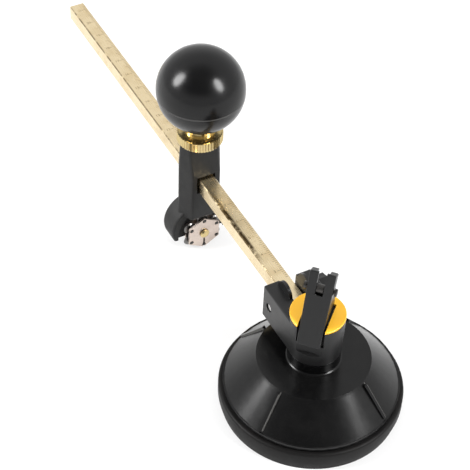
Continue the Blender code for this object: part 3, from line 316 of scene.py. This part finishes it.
def reshaded(node, name, material, body, rounding=0.0):
    """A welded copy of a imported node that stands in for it, smooth but at its edges."""
    work = bmesh.new()
    work.from_mesh(nodes[node].data)
    bmesh.ops.remove_doubles(work, verts=work.verts, dist=WELD)
    bmesh.ops.dissolve_limit(work, angle_limit=FLAT_ANGLE, verts=work.verts, edges=work.edges)
    piece = smooth_piece(name, work, material)
    if rounding:
        rounded = piece.modifiers.new("broken_edges", "BEVEL")
        rounded.width = rounding
        rounded.segments = EDGE_SEGMENTS
        rounded.limit_method = "ANGLE"
        rounded.angle_limit = CREASE_ANGLE
        rounded.harden_normals = False
    weighted = piece.modifiers.new("flat_faces_first", "WEIGHTED_NORMAL")
    weighted.keep_sharp = True
    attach(piece, body)
    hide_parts(node)
    return piece


bead_turns = [math.pi / 2 * step / BEAD_STEPS for step in range(BEAD_STEPS, -1, -1)]
bead_radius = CUP_RADIUS - CUP_BEAD_ROUND
bead_height = CUP_BEAD_TOP - CUP_BEAD_ROUND
disc_profile = [
    (0, CUP_WEB),
    (CUP_BEAD_INNER, CUP_WEB),
    (CUP_BEAD_INNER, CUP_BEAD_TOP - CUP_BEAD_ROUND / 2),
    (CUP_BEAD_INNER + CUP_BEAD_ROUND / 2, CUP_BEAD_TOP),
]
for bead_turn in bead_turns:
    bead_out = CUP_BEAD_ROUND * math.cos(bead_turn)
    bead_up = CUP_BEAD_ROUND * math.sin(bead_turn)
    disc_profile.append((bead_radius + bead_out, bead_height + bead_up))
disc_profile += [(CUP_RADIUS, CUP_WEB), (CUP_LIP_RADIUS, 0), (0, 0)]
disc = smooth_piece("cup_disc", turned_form(disc_profile), rubber)
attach(disc, "base")
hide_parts("suction_cup")

boss_profile = [
    (0, POCKET_LOW),
    (POCKET_RADIUS, POCKET_LOW),
    (POCKET_RADIUS, POCKET_HIGH),
    (CUP_BORE_RADIUS, POCKET_HIGH),
    (CUP_BORE_RADIUS, CUP_BOSS_TOP),
    (CUP_BOSS_RADIUS, CUP_BOSS_TOP),
    (CUP_BOSS_RADIUS, POCKET_LOW),
    (CUP_BOSS_RADIUS, CUP_BOSS_ROOT),
    (0, CUP_BOSS_ROOT),
]
boss = smooth_piece("cup_boss", turned_form(boss_profile), rubber)
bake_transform(boss)
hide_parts("suction_cup")


# Base housing. A glossy black injection moulding that clips down over the cup. Its cone
# has four raised ribs, each with a painted highlight along one edge, and its flat
# shoulder carries the spigot that the tower turns on.
PLASTIC_DUST = (0.035, 0.034, 0.032)
RIB_COUNT = 4
RIB_TURN = math.radians(25.5)
RIB_LINE = 0.00065
RIB_SHINE = 0.00026
# Colour of the painted highlight along one edge of each rib.
RIB_HIGHLIGHT_COLOUR = (0.090, 0.088, 0.084)
CONE_FOOT = 0.0117
CONE_TOP = 0.0240
CONE_FADE = 0.0003

housing_gloss = new_finish(
    "housing_gloss",
    moulded_skin,
    {
        "Colour": (0.0026, 0.0026, 0.0027),
        "Dust Colour": PLASTIC_DUST,
        "Dust": 0.10,
        "Roughness": 0.22,
        "Scuff": 0.12,
        "Grain Scale": 2200.0,
    },
    bump=0.000002,
    Specular_IOR_Level=0.30,
)


def rib_highlight_edge(tree, from_axis_x, from_axis_y, turn):
    """A mask: a painted highlight along one edge of the rib at a turn about the foot's axis."""
    along = maths(tree, "MULTIPLY", from_axis_x, math.cos(turn))
    along = maths(tree, "MULTIPLY_ADD", from_axis_y, math.sin(turn), along)
    aside = maths(tree, "MULTIPLY", from_axis_x, -math.sin(turn))
    aside = maths(tree, "MULTIPLY_ADD", from_axis_y, math.cos(turn), aside)
    off_edge = maths(tree, "ABSOLUTE", maths(tree, "SUBTRACT", aside, RIB_LINE))
    line = ramp(tree, off_edge, low=RIB_SHINE, high=RIB_SHINE / 3)
    return maths(tree, "MULTIPLY", line, maths(tree, "GREATER_THAN", along, 0))


housing_tree = housing_gloss.node_tree
housing_x, housing_y, housing_z = coordinates(housing_tree)
# Painted highlight: a pale line along one edge of each rib, on the cone only.
rib_highlight = 0.0
for rib in range(RIB_COUNT):
    rib_highlight_line = rib_highlight_edge(housing_tree, housing_x, housing_y, RIB_TURN + rib * math.tau / RIB_COUNT)
    rib_highlight = maths(housing_tree, "MAXIMUM", rib_highlight, rib_highlight_line)
above_foot = ramp(housing_tree, housing_z, low=CONE_FOOT, high=CONE_FOOT + CONE_FADE)
below_top = ramp(housing_tree, housing_z, low=CONE_TOP, high=CONE_TOP - CONE_FADE)
on_cone = maths(housing_tree, "MULTIPLY", above_foot, below_top)
overlay(housing_gloss, maths(housing_tree, "MULTIPLY", rib_highlight, on_cone), RIB_HIGHLIGHT_COLOUR)
reshaded("base_housing", "housing_moulding", housing_gloss, "base", rounding=0.0002)


# Bright steelwork. The return spring, the retaining ring, the handle's stud and the
# turret's nut are plain steel with drawing and turning marks.
TARNISH_DULLS = 0.2


def make_worked_metal():
    """Group: drawn or turned metal, its marks stretched along one way, and tarnish."""
    group = bpy.data.node_groups.new("worked_metal", "ShaderNodeTree")
    add_socket(group, "Colour", "INPUT", "NodeSocketColor", (0.6, 0.6, 0.6, 1))
    add_socket(group, "Tarnish Colour", "INPUT", "NodeSocketColor", (0.2, 0.15, 0.08, 1))
    add_socket(group, "Tarnish", "INPUT", value=0.2, low=0, high=1)
    add_socket(group, "Roughness", "INPUT", value=0.25, low=0, high=1)
    add_socket(group, "Spread", "INPUT", value=0.1, low=0, high=1)
    add_socket(group, "Marks", "INPUT", "NodeSocketVector", (60.0, 2200.0, 2200.0))
    add_socket(group, "Colour", "OUTPUT", "NodeSocketColor")
    add_socket(group, "Roughness", "OUTPUT")
    add_socket(group, "Height", "OUTPUT")
    given = add_node(group, "NodeGroupInput")
    result = add_node(group, "NodeGroupOutput")
    place = add_node(group, "ShaderNodeTexCoord").outputs["Object"]
    stretched = add_node(group, "ShaderNodeVectorMath", operation="MULTIPLY")
    group.links.new(place, stretched.inputs[0])
    group.links.new(given.outputs["Marks"], stretched.inputs[1])
    lines = noise(group, stretched.outputs[0], scale=1.0, detail=3.0)
    specks = ramp(group, noise(group, place, scale=1400.0, detail=2.0), low=0.56, high=0.70)
    clouds = ramp(group, noise(group, place, scale=140.0, detail=4.0), low=0.40, high=0.75)
    patches = maths(group, "MAXIMUM", specks, clouds)
    stained = maths(group, "MULTIPLY", patches, given.outputs["Tarnish"])
    colour = mix_colour(group, stained, given.outputs["Colour"], given.outputs["Tarnish Colour"])
    group.links.new(colour, result.inputs["Colour"])
    centred = maths(group, "SUBTRACT", lines, NOISE_MIDDLE)
    spread = maths(group, "MULTIPLY", centred, given.outputs["Spread"])
    rough = maths(group, "ADD", spread, given.outputs["Roughness"])
    rough = maths(group, "ADD", rough, maths(group, "MULTIPLY", stained, TARNISH_DULLS), clamp=True)
    group.links.new(rough, result.inputs["Roughness"])
    group.links.new(lines, result.inputs["Height"])
    return group


worked_metal = make_worked_metal()
bright_steel = new_finish(
    "bright_steel",
    worked_metal,
    {
        "Colour": (0.58, 0.57, 0.55),
        "Tarnish Colour": (0.25, 0.22, 0.18),
        "Tarnish": 0.15,
        "Roughness": 0.24,
        "Spread": 0.12,
        "Marks": Vector((900.0, 900.0, 4000.0)),
    },
    bump=0.000004,
    Metallic=1.0,
)
for steel_node in ("retaining_ring", "handle_stud", "turret_nut"):
    dress(steel_node, bright_steel)


# Pivot screw. The beam tilts on it. It is steel with a dull nickel plating, and it
# passes through both cheeks of the tower's bracket.
screw_nickel = new_finish(
    "screw_nickel",
    worked_metal,
    {
        "Colour": (0.80, 0.79, 0.77),
        "Tarnish Colour": (0.45, 0.42, 0.38),
        "Tarnish": 0.20,
        "Roughness": 0.46,
        "Spread": 0.12,
        "Marks": Vector((2200.0, 400.0, 2200.0)),
    },
    bump=0.000004,
    Metallic=1.0,
)
dress("pivot_screw", screw_nickel)


# Return spring. It is coiled from steel wire and stands on the cup's boss under the
# spigot.
spring = reshaded("cup_spring", "return_spring", bright_steel, "base")
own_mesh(spring)


# Dark steelwork. The pull rod with its eye, the lever's cross pin and the wheels'
# small axles are left as hardened, dull and nearly black.
WHEEL_COUNT = 6

dark_steel = new_finish(
    "dark_steel",
    worked_metal,
    {
        "Colour": (0.085, 0.082, 0.080),
        "Tarnish Colour": (0.040, 0.034, 0.028),
        "Tarnish": 0.35,
        "Roughness": 0.34,
        "Spread": 0.14,
        "Marks": Vector((1400.0, 1400.0, 5200.0)),
    },
    bump=0.000004,
    Metallic=1.0,
)
for dark_node in ("pull_rod", "lever_pin"):
    dress(dark_node, dark_steel)
for wheel_number in range(1, WHEEL_COUNT + 1):
    dress(f"wheel_axle_{wheel_number}", dark_steel)


# Tower, lever, knob and slider. Satin black mouldings. The lever folds into the tower's
# top, the knob sits on the pivot screw, and the slider, which has the coarser skin,
# runs along the beam.
satin_black = new_finish(
    "satin_black",
    moulded_skin,
    {
        "Colour": (0.0078, 0.0078, 0.0080),
        "Dust Colour": PLASTIC_DUST,
        "Dust": 0.08,
        "Roughness": 0.34,
        "Scuff": 0.16,
        "Grain Scale": 2600.0,
    },
    bump=0.000010,
    Specular_IOR_Level=0.42,
)
reshaded("swivel_tower", "tower_moulding", satin_black, "swivel", rounding=0.00022)
reshaded("cam_lever", "lever_moulding", satin_black, "lever", rounding=0.0002)
reshaded("pivot_knob", "knob_moulding", satin_black, "pivot", rounding=0.0002)

slider_satin = new_finish(
    "slider_satin",
    moulded_skin,
    {
        "Colour": (0.0060, 0.0058, 0.0056),
        "Dust Colour": (0.060, 0.057, 0.052),
        "Dust": 0.12,
        "Roughness": 0.58,
        "Scuff": 0.34,
        "Grain Scale": 1700.0,
    },
    bump=0.000018,
    Specular_IOR_Level=0.40,
)
reshaded("slider_body", "slider_moulding", slider_satin, "slider", rounding=0.0004)


# Top cap. A thin disc of yellow plastic that clips on the tower's top, open where the
# lever folds in.
cap_yellow = new_finish(
    "cap_yellow",
    moulded_skin,
    {
        "Colour": (0.90, 0.47, 0.016),
        "Dust Colour": (0.78, 0.46, 0.06),
        "Dust": 0.25,
        "Roughness": 0.36,
        "Scuff": 0.10,
        "Grain Scale": 1600.0,
    },
    bump=0.000008,
    Specular_IOR_Level=0.5,
)
dress("top_cap", cap_yellow)


# Beam. A square bar of drawn pale brass with broken edges. Its scale is stamped in
# its top, in millimetres from the tower's axis, and the marks have gone dark.
BEAM_TARNISH = (0.52, 0.36, 0.15)
# Painted dark reflection: colour and width of the dark lines along the beam's top edges.
EDGE_REFLECTION_COLOUR = (0.075, 0.050, 0.022)
EDGE_REFLECTION_WIDTH = 0.00060
LEFT_EDGE_REFLECTION = 0.85
RIGHT_EDGE_REFLECTION = 0.35
# Painted reflection of the dark slider: where its streak lies on the beam's top.
SLIDER_REFLECTION_REACH = 0.030
SLIDER_REFLECTION_LENGTH = 0.046
SLIDER_REFLECTION_WIDTH = 0.0022
MARK_COLOUR = (0.15, 0.10, 0.045)
MARK_ROUGHNESS = 0.5
MARK_METALLIC = 0.3
MARK_DEPTH = 0.00006
MARK_PROUD = 0.00001
MARK_WIDTH = 0.00016
MARK_SPACING = 0.001
MARK_EDGE_GAP = 0.0004
MARKS_TO_FIGURE = 10
MARK_LENGTHS = {MARKS_TO_FIGURE: 0.0026, MARKS_TO_FIGURE // 2: 0.0020, 1: 0.0013}
SCALE_START = 0.026
SCALE_END = 0.212
FIGURE_SIZE = 0.0019
FIGURE_SHIFT = 0.0007
FIGURE_STEPS = 3
FIGURE_WELD = 0.000001

beam_brass = new_finish(
    "beam_brass",
    worked_metal,
    {
        "Colour": (0.88, 0.73, 0.47),
        "Tarnish Colour": BEAM_TARNISH,
        "Tarnish": 0.36,
        "Roughness": 0.25,
        "Spread": 0.16,
        "Marks": Vector((70.0, 3200.0, 3200.0)),
    },
    bump=0.000006,
    Metallic=1.0,
)
dress("graduated_bar", beam_brass)
beam_low, beam_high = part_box("graduated_bar")
slider_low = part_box("slider_body")[0]

brass_tree = beam_brass.node_tree
along, across, up = coordinates(brass_tree)
brass_place = add_node(brass_tree, "ShaderNodeTexCoord").outputs["Object"]
# Painted dark reflection: patchy dark lines along the beam's two top edges, the left one stronger.
edge_reflection_patches = noise(brass_tree, brass_place, scale=260.0, detail=4.0, roughness=0.6)
edge_reflection_patches = ramp(brass_tree, edge_reflection_patches, low=0.30, high=0.52)
reflection_foot = beam_high.z - EDGE_REFLECTION_WIDTH
at_top = ramp(brass_tree, up, low=reflection_foot, high=beam_high.z - EDGE_REFLECTION_WIDTH / 3)
at_left = ramp(brass_tree, across, low=beam_high.y - EDGE_REFLECTION_WIDTH, high=beam_high.y - EDGE_REFLECTION_WIDTH / 3)
at_right = ramp(brass_tree, across, low=beam_low.y + EDGE_REFLECTION_WIDTH, high=beam_low.y + EDGE_REFLECTION_WIDTH / 3)
left_reflection = maths(brass_tree, "MULTIPLY", at_top, at_left)
left_reflection = maths(brass_tree, "MULTIPLY", left_reflection, LEFT_EDGE_REFLECTION)
right_reflection = maths(brass_tree, "MULTIPLY", at_top, at_right)
right_reflection = maths(brass_tree, "MULTIPLY", right_reflection, RIGHT_EDGE_REFLECTION)
edge_reflection = maths(brass_tree, "MAXIMUM", left_reflection, right_reflection)
edge_reflection = maths(brass_tree, "MULTIPLY", edge_reflection, edge_reflection_patches)
overlay(beam_brass, edge_reflection, EDGE_REFLECTION_COLOUR)

# Painted reflection of the dark slider: a patchy dark streak on the beam's top by its left
# edge, in front of the slider.
slider_reflection_middle = slider_low.x - SLIDER_REFLECTION_REACH
slider_reflection_off = maths(brass_tree, "ABSOLUTE", maths(brass_tree, "SUBTRACT", along, slider_reflection_middle))
slider_reflection_end = ramp(brass_tree, slider_reflection_off, low=SLIDER_REFLECTION_LENGTH / 2, high=SLIDER_REFLECTION_LENGTH / 4)
slider_reflection_foot = beam_high.y - SLIDER_REFLECTION_WIDTH
slider_reflection_side = ramp(brass_tree, across, low=slider_reflection_foot, high=slider_reflection_foot + SLIDER_REFLECTION_WIDTH / 2)
slider_reflection_top = ramp(brass_tree, up, low=reflection_foot, high=reflection_foot + EDGE_REFLECTION_WIDTH / 2)
slider_reflection = maths(brass_tree, "MULTIPLY", slider_reflection_end, slider_reflection_side)
slider_reflection = maths(brass_tree, "MULTIPLY", slider_reflection, slider_reflection_top)
slider_reflection_patches = noise(brass_tree, brass_place, scale=260.0, detail=3.0, roughness=0.6)
slider_reflection_patches = ramp(brass_tree, slider_reflection_patches, low=0.28, high=0.50)
overlay(beam_brass, maths(brass_tree, "MULTIPLY", slider_reflection, slider_reflection_patches), EDGE_REFLECTION_COLOUR)

stamped_dark = bpy.data.materials.new("stamped_dark")
stamped_dark.use_nodes = True
mark_tree = stamped_dark.node_tree
mark_shader = mark_tree.nodes["Principled BSDF"]
mark_place = add_node(mark_tree, "ShaderNodeTexCoord").outputs["Object"]
mark_wear = noise(mark_tree, mark_place, scale=700.0, detail=3.0)
mark_wear = ramp(mark_tree, mark_wear, low=0.45, high=0.75)
mark_colour = mix_colour(mark_tree, mark_wear, MARK_COLOUR, BEAM_TARNISH)
mark_tree.links.new(mark_colour, mark_shader.inputs["Base Color"])
mark_shader.inputs["Roughness"].default_value = MARK_ROUGHNESS
mark_shader.inputs["Metallic"].default_value = MARK_METALLIC


def add_slab(work, low, high):
    """A small box between two corners, added to a mesh under construction."""
    corners = bmesh.ops.create_cube(work, size=1.0)["verts"]
    bmesh.ops.scale(work, vec=Vector(high) - Vector(low), verts=corners)
    bmesh.ops.translate(work, vec=(Vector(low) + Vector(high)) / 2, verts=corners)


def riding_piece(name, work, material, body):
    """A piece from a mesh under construction, that rides on a body as it is."""
    piece = new_piece(name, work, material)
    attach(piece, body)
    return piece


ticks = bmesh.new()
tick_foot = beam_low.y + MARK_EDGE_GAP
marks = range(round(SCALE_START / MARK_SPACING), round(SCALE_END / MARK_SPACING) + 1)
for mark in marks:
    mark_length = next(MARK_LENGTHS[each] for each in MARK_LENGTHS if mark % each == 0)
    middle = mark * MARK_SPACING
    add_slab(
        ticks,
        (middle - MARK_WIDTH / 2, tick_foot, beam_high.z - MARK_DEPTH),
        (middle + MARK_WIDTH / 2, tick_foot + mark_length, beam_high.z + MARK_PROUD),
    )
riding_piece("scale_ticks", ticks, stamped_dark, "arm")

figures = bmesh.new()
figure_turn = Matrix.Rotation(math.radians(-90), 4, "Z")
figure_height = beam_high.z + (MARK_PROUD - MARK_DEPTH) / 2
for mark in marks:
    if mark % MARKS_TO_FIGURE:
        continue
    text = bpy.data.curves.new("scale_figure", "FONT")
    text.body = str(mark // MARKS_TO_FIGURE)
    text.size = FIGURE_SIZE
    text.align_x = "CENTER"
    text.align_y = "CENTER"
    text.extrude = (MARK_DEPTH + MARK_PROUD) / 2
    text.resolution_u = FIGURE_STEPS
    holder = bpy.data.objects.new("scale_figure", text)
    bpy.context.scene.collection.objects.link(holder)
    bpy.context.view_layer.update()
    evaluated = holder.evaluated_get(bpy.context.evaluated_depsgraph_get())
    outline = bpy.data.meshes.new_from_object(evaluated)
    figure_place = Vector((mark * MARK_SPACING, FIGURE_SHIFT, figure_height))
    outline.transform(Matrix.Translation(figure_place) @ figure_turn)
    figures.from_mesh(outline)
    bpy.data.objects.remove(holder)
    bpy.data.meshes.remove(outline)
bmesh.ops.remove_doubles(figures, verts=figures.verts, dist=FIGURE_WELD)
riding_piece("scale_figures", figures, stamped_dark, "arm")


# Brass turnings. The clamp shoe, lock nut, ball insert and turret screw are turned
# from a yellower brass than the beam, and keep the fine marks of the tool.
turned_brass = new_finish(
    "turned_brass",
    worked_metal,
    {
        "Colour": (0.60, 0.48, 0.24),
        "Tarnish Colour": (0.42, 0.24, 0.07),
        "Tarnish": 0.28,
        "Roughness": 0.20,
        "Spread": 0.14,
        "Marks": Vector((700.0, 700.0, 5200.0)),
    },
    bump=0.000005,
    Metallic=1.0,
)
for brass_node in ("clamp_shoe", "knurled_nut", "ball_insert", "turret_screw"):
    dress(brass_node, turned_brass)


# Ball handle. Two moulded halves of polished black plastic, joined a little below
# the middle, screwed to the stud by the brass insert.
SEAM_DROP = 0.0014
SEAM_WIDTH = 0.00055
# Colour of the painted highlight along the parting line.
SEAM_HIGHLIGHT_COLOUR = (0.040, 0.039, 0.038)

ball_gloss = new_finish(
    "ball_gloss",
    moulded_skin,
    {
        "Colour": (0.0034, 0.0034, 0.0036),
        "Dust Colour": PLASTIC_DUST,
        "Dust": 0.05,
        "Roughness": 0.22,
        "Scuff": 0.20,
        "Grain Scale": 1200.0,
    },
    bump=0.000003,
    Specular_IOR_Level=0.30,
)
ball_low, ball_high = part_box("ball_handle")
seam_height = ball_high.z - (ball_high.x - ball_low.x) / 2 - SEAM_DROP
# Painted highlight: a pale line round the ball where its two halves meet.
ball_tree = ball_gloss.node_tree
seam_off = maths(ball_tree, "SUBTRACT", coordinates(ball_tree)[2], seam_height)
seam_off = maths(ball_tree, "ABSOLUTE", seam_off)
seam_highlight = ramp(ball_tree, seam_off, low=SEAM_WIDTH, high=SEAM_WIDTH / 4)
overlay(ball_gloss, seam_highlight, SEAM_HIGHLIGHT_COLOUR)
reshaded("ball_handle", "ball_moulding", ball_gloss, "ball")


# Turret. Two plated six-cornered plates and their spacer hold the cutting wheels,
# and the whole turns on its screw to bring a fresh wheel down to the glass. The
# wheels are ground from dark hardened steel.
plated_steel = new_finish(
    "plated_steel",
    worked_metal,
    {
        "Colour": (0.62, 0.53, 0.47),
        "Tarnish Colour": (0.30, 0.24, 0.20),
        "Tarnish": 0.30,
        "Roughness": 0.38,
        "Spread": 0.14,
        "Marks": Vector((2600.0, 260.0, 2600.0)),
    },
    bump=0.000005,
    Metallic=1.0,
)
for plated_node in ("turret_front_plate", "turret_core", "turret_rear_plate"):
    dress(plated_node, plated_steel)

wheel_metal = new_finish(
    "wheel_metal",
    worked_metal,
    {
        "Colour": (0.16, 0.155, 0.15),
        "Tarnish Colour": (0.05, 0.045, 0.04),
        "Tarnish": 0.20,
        "Roughness": 0.28,
        "Spread": 0.12,
        "Marks": Vector((4800.0, 900.0, 900.0)),
    },
    bump=0.000003,
    Metallic=1.0,
)
for wheel_number in range(1, WHEEL_COUNT + 1):
    dress(f"wheel_{wheel_number}", wheel_metal)


# Studio. A white paper floor and a white surround, with a dark card in it that gloss
# and metal mirror. Two soft boxes stand where the ball's two highlights put them, and
# a wide fill hangs above, which nothing mirrors.
FLOOR_REACH = 3.0
FLOOR_COLOUR = (0.93, 0.93, 0.93)
FLOOR_DROP = 0.0001
PAPER_ROUGHNESS = 0.9
PAPER_SPECULAR = 0.1
PAPER_GLOW = 0.55
ROOM_FILL = 0.45
ROOM_SHINE = 0.93
KEY_FROM = Vector((0.281, 0.774, 0.566))
SIDE_FROM = Vector((-0.681, -0.419, 0.598))
TOP_FROM = Vector((0.25, -0.12, 0.96))
LAMP_AIM = Vector((0.06, 0, 0.04))
LAMP_DISTANCE = 1.1
CARD_FROM = Vector((-0.614, 0.353, 0.706))
CARD_OUTER = 0.38
CARD_INNER = 0.82
CARD_FOOT = 0.18
CARD_FULL = 0.52
CARD_LEVEL = 0.10
LAMPS = (
    ("key_box", KEY_FROM, 0.40, 0.66, 13.6),
    ("side_box", SIDE_FROM, 0.34, 0.62, 12.2),
    ("top_box", TOP_FROM, 0.90, 0.90, 2.0),
)

paper = bpy.data.materials.new("paper_floor")
paper.use_nodes = True
paper_tree = paper.node_tree
paper_shader = paper_tree.nodes["Principled BSDF"]
paper_shader.inputs["Base Color"].default_value = (*FLOOR_COLOUR, 1)
paper_shader.inputs["Roughness"].default_value = PAPER_ROUGHNESS
paper_shader.inputs["Specular IOR Level"].default_value = PAPER_SPECULAR
glow = add_node(paper_tree, "ShaderNodeEmission")
glow.inputs["Color"].default_value = (1, 1, 1, 1)
glow.inputs["Strength"].default_value = 1.0
seen = add_node(paper_tree, "ShaderNodeLightPath")
mirrored = seen.outputs["Is Glossy Ray"]
mirrored = maths(paper_tree, "MAXIMUM", mirrored, seen.outputs["Is Transmission Ray"])
shown = maths(paper_tree, "MAXIMUM", seen.outputs["Is Camera Ray"], mirrored)
seen_share = maths(paper_tree, "MULTIPLY", shown, PAPER_GLOW)
both = add_node(paper_tree, "ShaderNodeMixShader")
paper_tree.links.new(seen_share, both.inputs[0])
paper_tree.links.new(paper_shader.outputs[0], both.inputs[1])
paper_tree.links.new(glow.outputs[0], both.inputs[2])
paper_tree.links.new(both.outputs[0], paper_tree.nodes["Material Output"].inputs[0])

sheet_corners = [
    (-FLOOR_REACH, -FLOOR_REACH, 0),
    (FLOOR_REACH, -FLOOR_REACH, 0),
    (FLOOR_REACH, FLOOR_REACH, 0),
    (-FLOOR_REACH, FLOOR_REACH, 0),
]
floor_mesh = bpy.data.meshes.new("studio_floor")
floor_mesh.from_pydata(sheet_corners, [], [(0, 1, 2, 3)])
floor = bpy.data.objects.new("studio_floor", floor_mesh)
floor.location.z = -FLOOR_DROP
bpy.context.scene.collection.objects.link(floor)
floor.data.materials.append(paper)

for lamp_name, lamp_from, lamp_width, lamp_height, lamp_power in LAMPS:
    lamp = bpy.data.lights.new(lamp_name, "AREA")
    lamp.shape = "ELLIPSE"
    lamp.size = lamp_width
    lamp.size_y = lamp_height
    lamp.energy = lamp_power
    held = bpy.data.objects.new(lamp_name, lamp)
    bpy.context.scene.collection.objects.link(held)
    aim = lamp_from.normalized()
    held.location = LAMP_AIM + aim * LAMP_DISTANCE
    held.rotation_euler = aim.to_track_quat("Z", "Y").to_euler()
    held.visible_glossy = lamp_name != "top_box"

world = bpy.data.worlds.new("studio_surround")
bpy.context.scene.world = world
world.use_nodes = True
room = world.node_tree
backdrop = room.nodes["Background"]
ray = add_node(room, "ShaderNodeLightPath")
outward = add_node(room, "ShaderNodeTexCoord").outputs["Generated"]
toward_card = add_node(room, "ShaderNodeVectorMath", operation="DOT_PRODUCT")
room.links.new(outward, toward_card.inputs[0])
toward_card.inputs[1].default_value = CARD_FROM.normalized()
raised = add_node(room, "ShaderNodeSeparateXYZ")
room.links.new(outward, raised.inputs[0])
carded = ramp(room, toward_card.outputs["Value"], low=CARD_OUTER, high=CARD_INNER)
card_rise = ramp(room, raised.outputs["Z"], low=CARD_FOOT, high=CARD_FULL)
carded = maths(room, "MULTIPLY", carded, card_rise)
mirror_level = maths(room, "MULTIPLY_ADD", carded, CARD_LEVEL - ROOM_SHINE, ROOM_SHINE)
mirrors = maths(room, "MULTIPLY", ray.outputs["Is Glossy Ray"], mirror_level)
clear = ray.outputs["Is Camera Ray"]
clear = maths(room, "MAXIMUM", clear, ray.outputs["Is Transmission Ray"])
lit = maths(room, "SUBTRACT", 1.0, maths(room, "MAXIMUM", clear, ray.outputs["Is Glossy Ray"]))
level = maths(room, "MULTIPLY_ADD", lit, ROOM_FILL, maths(room, "MAXIMUM", clear, mirrors))
backdrop.inputs["Color"].default_value = (1, 1, 1, 1)
room.links.new(level, backdrop.inputs["Strength"])
bpy.context.scene.view_settings.view_transform = "Standard"
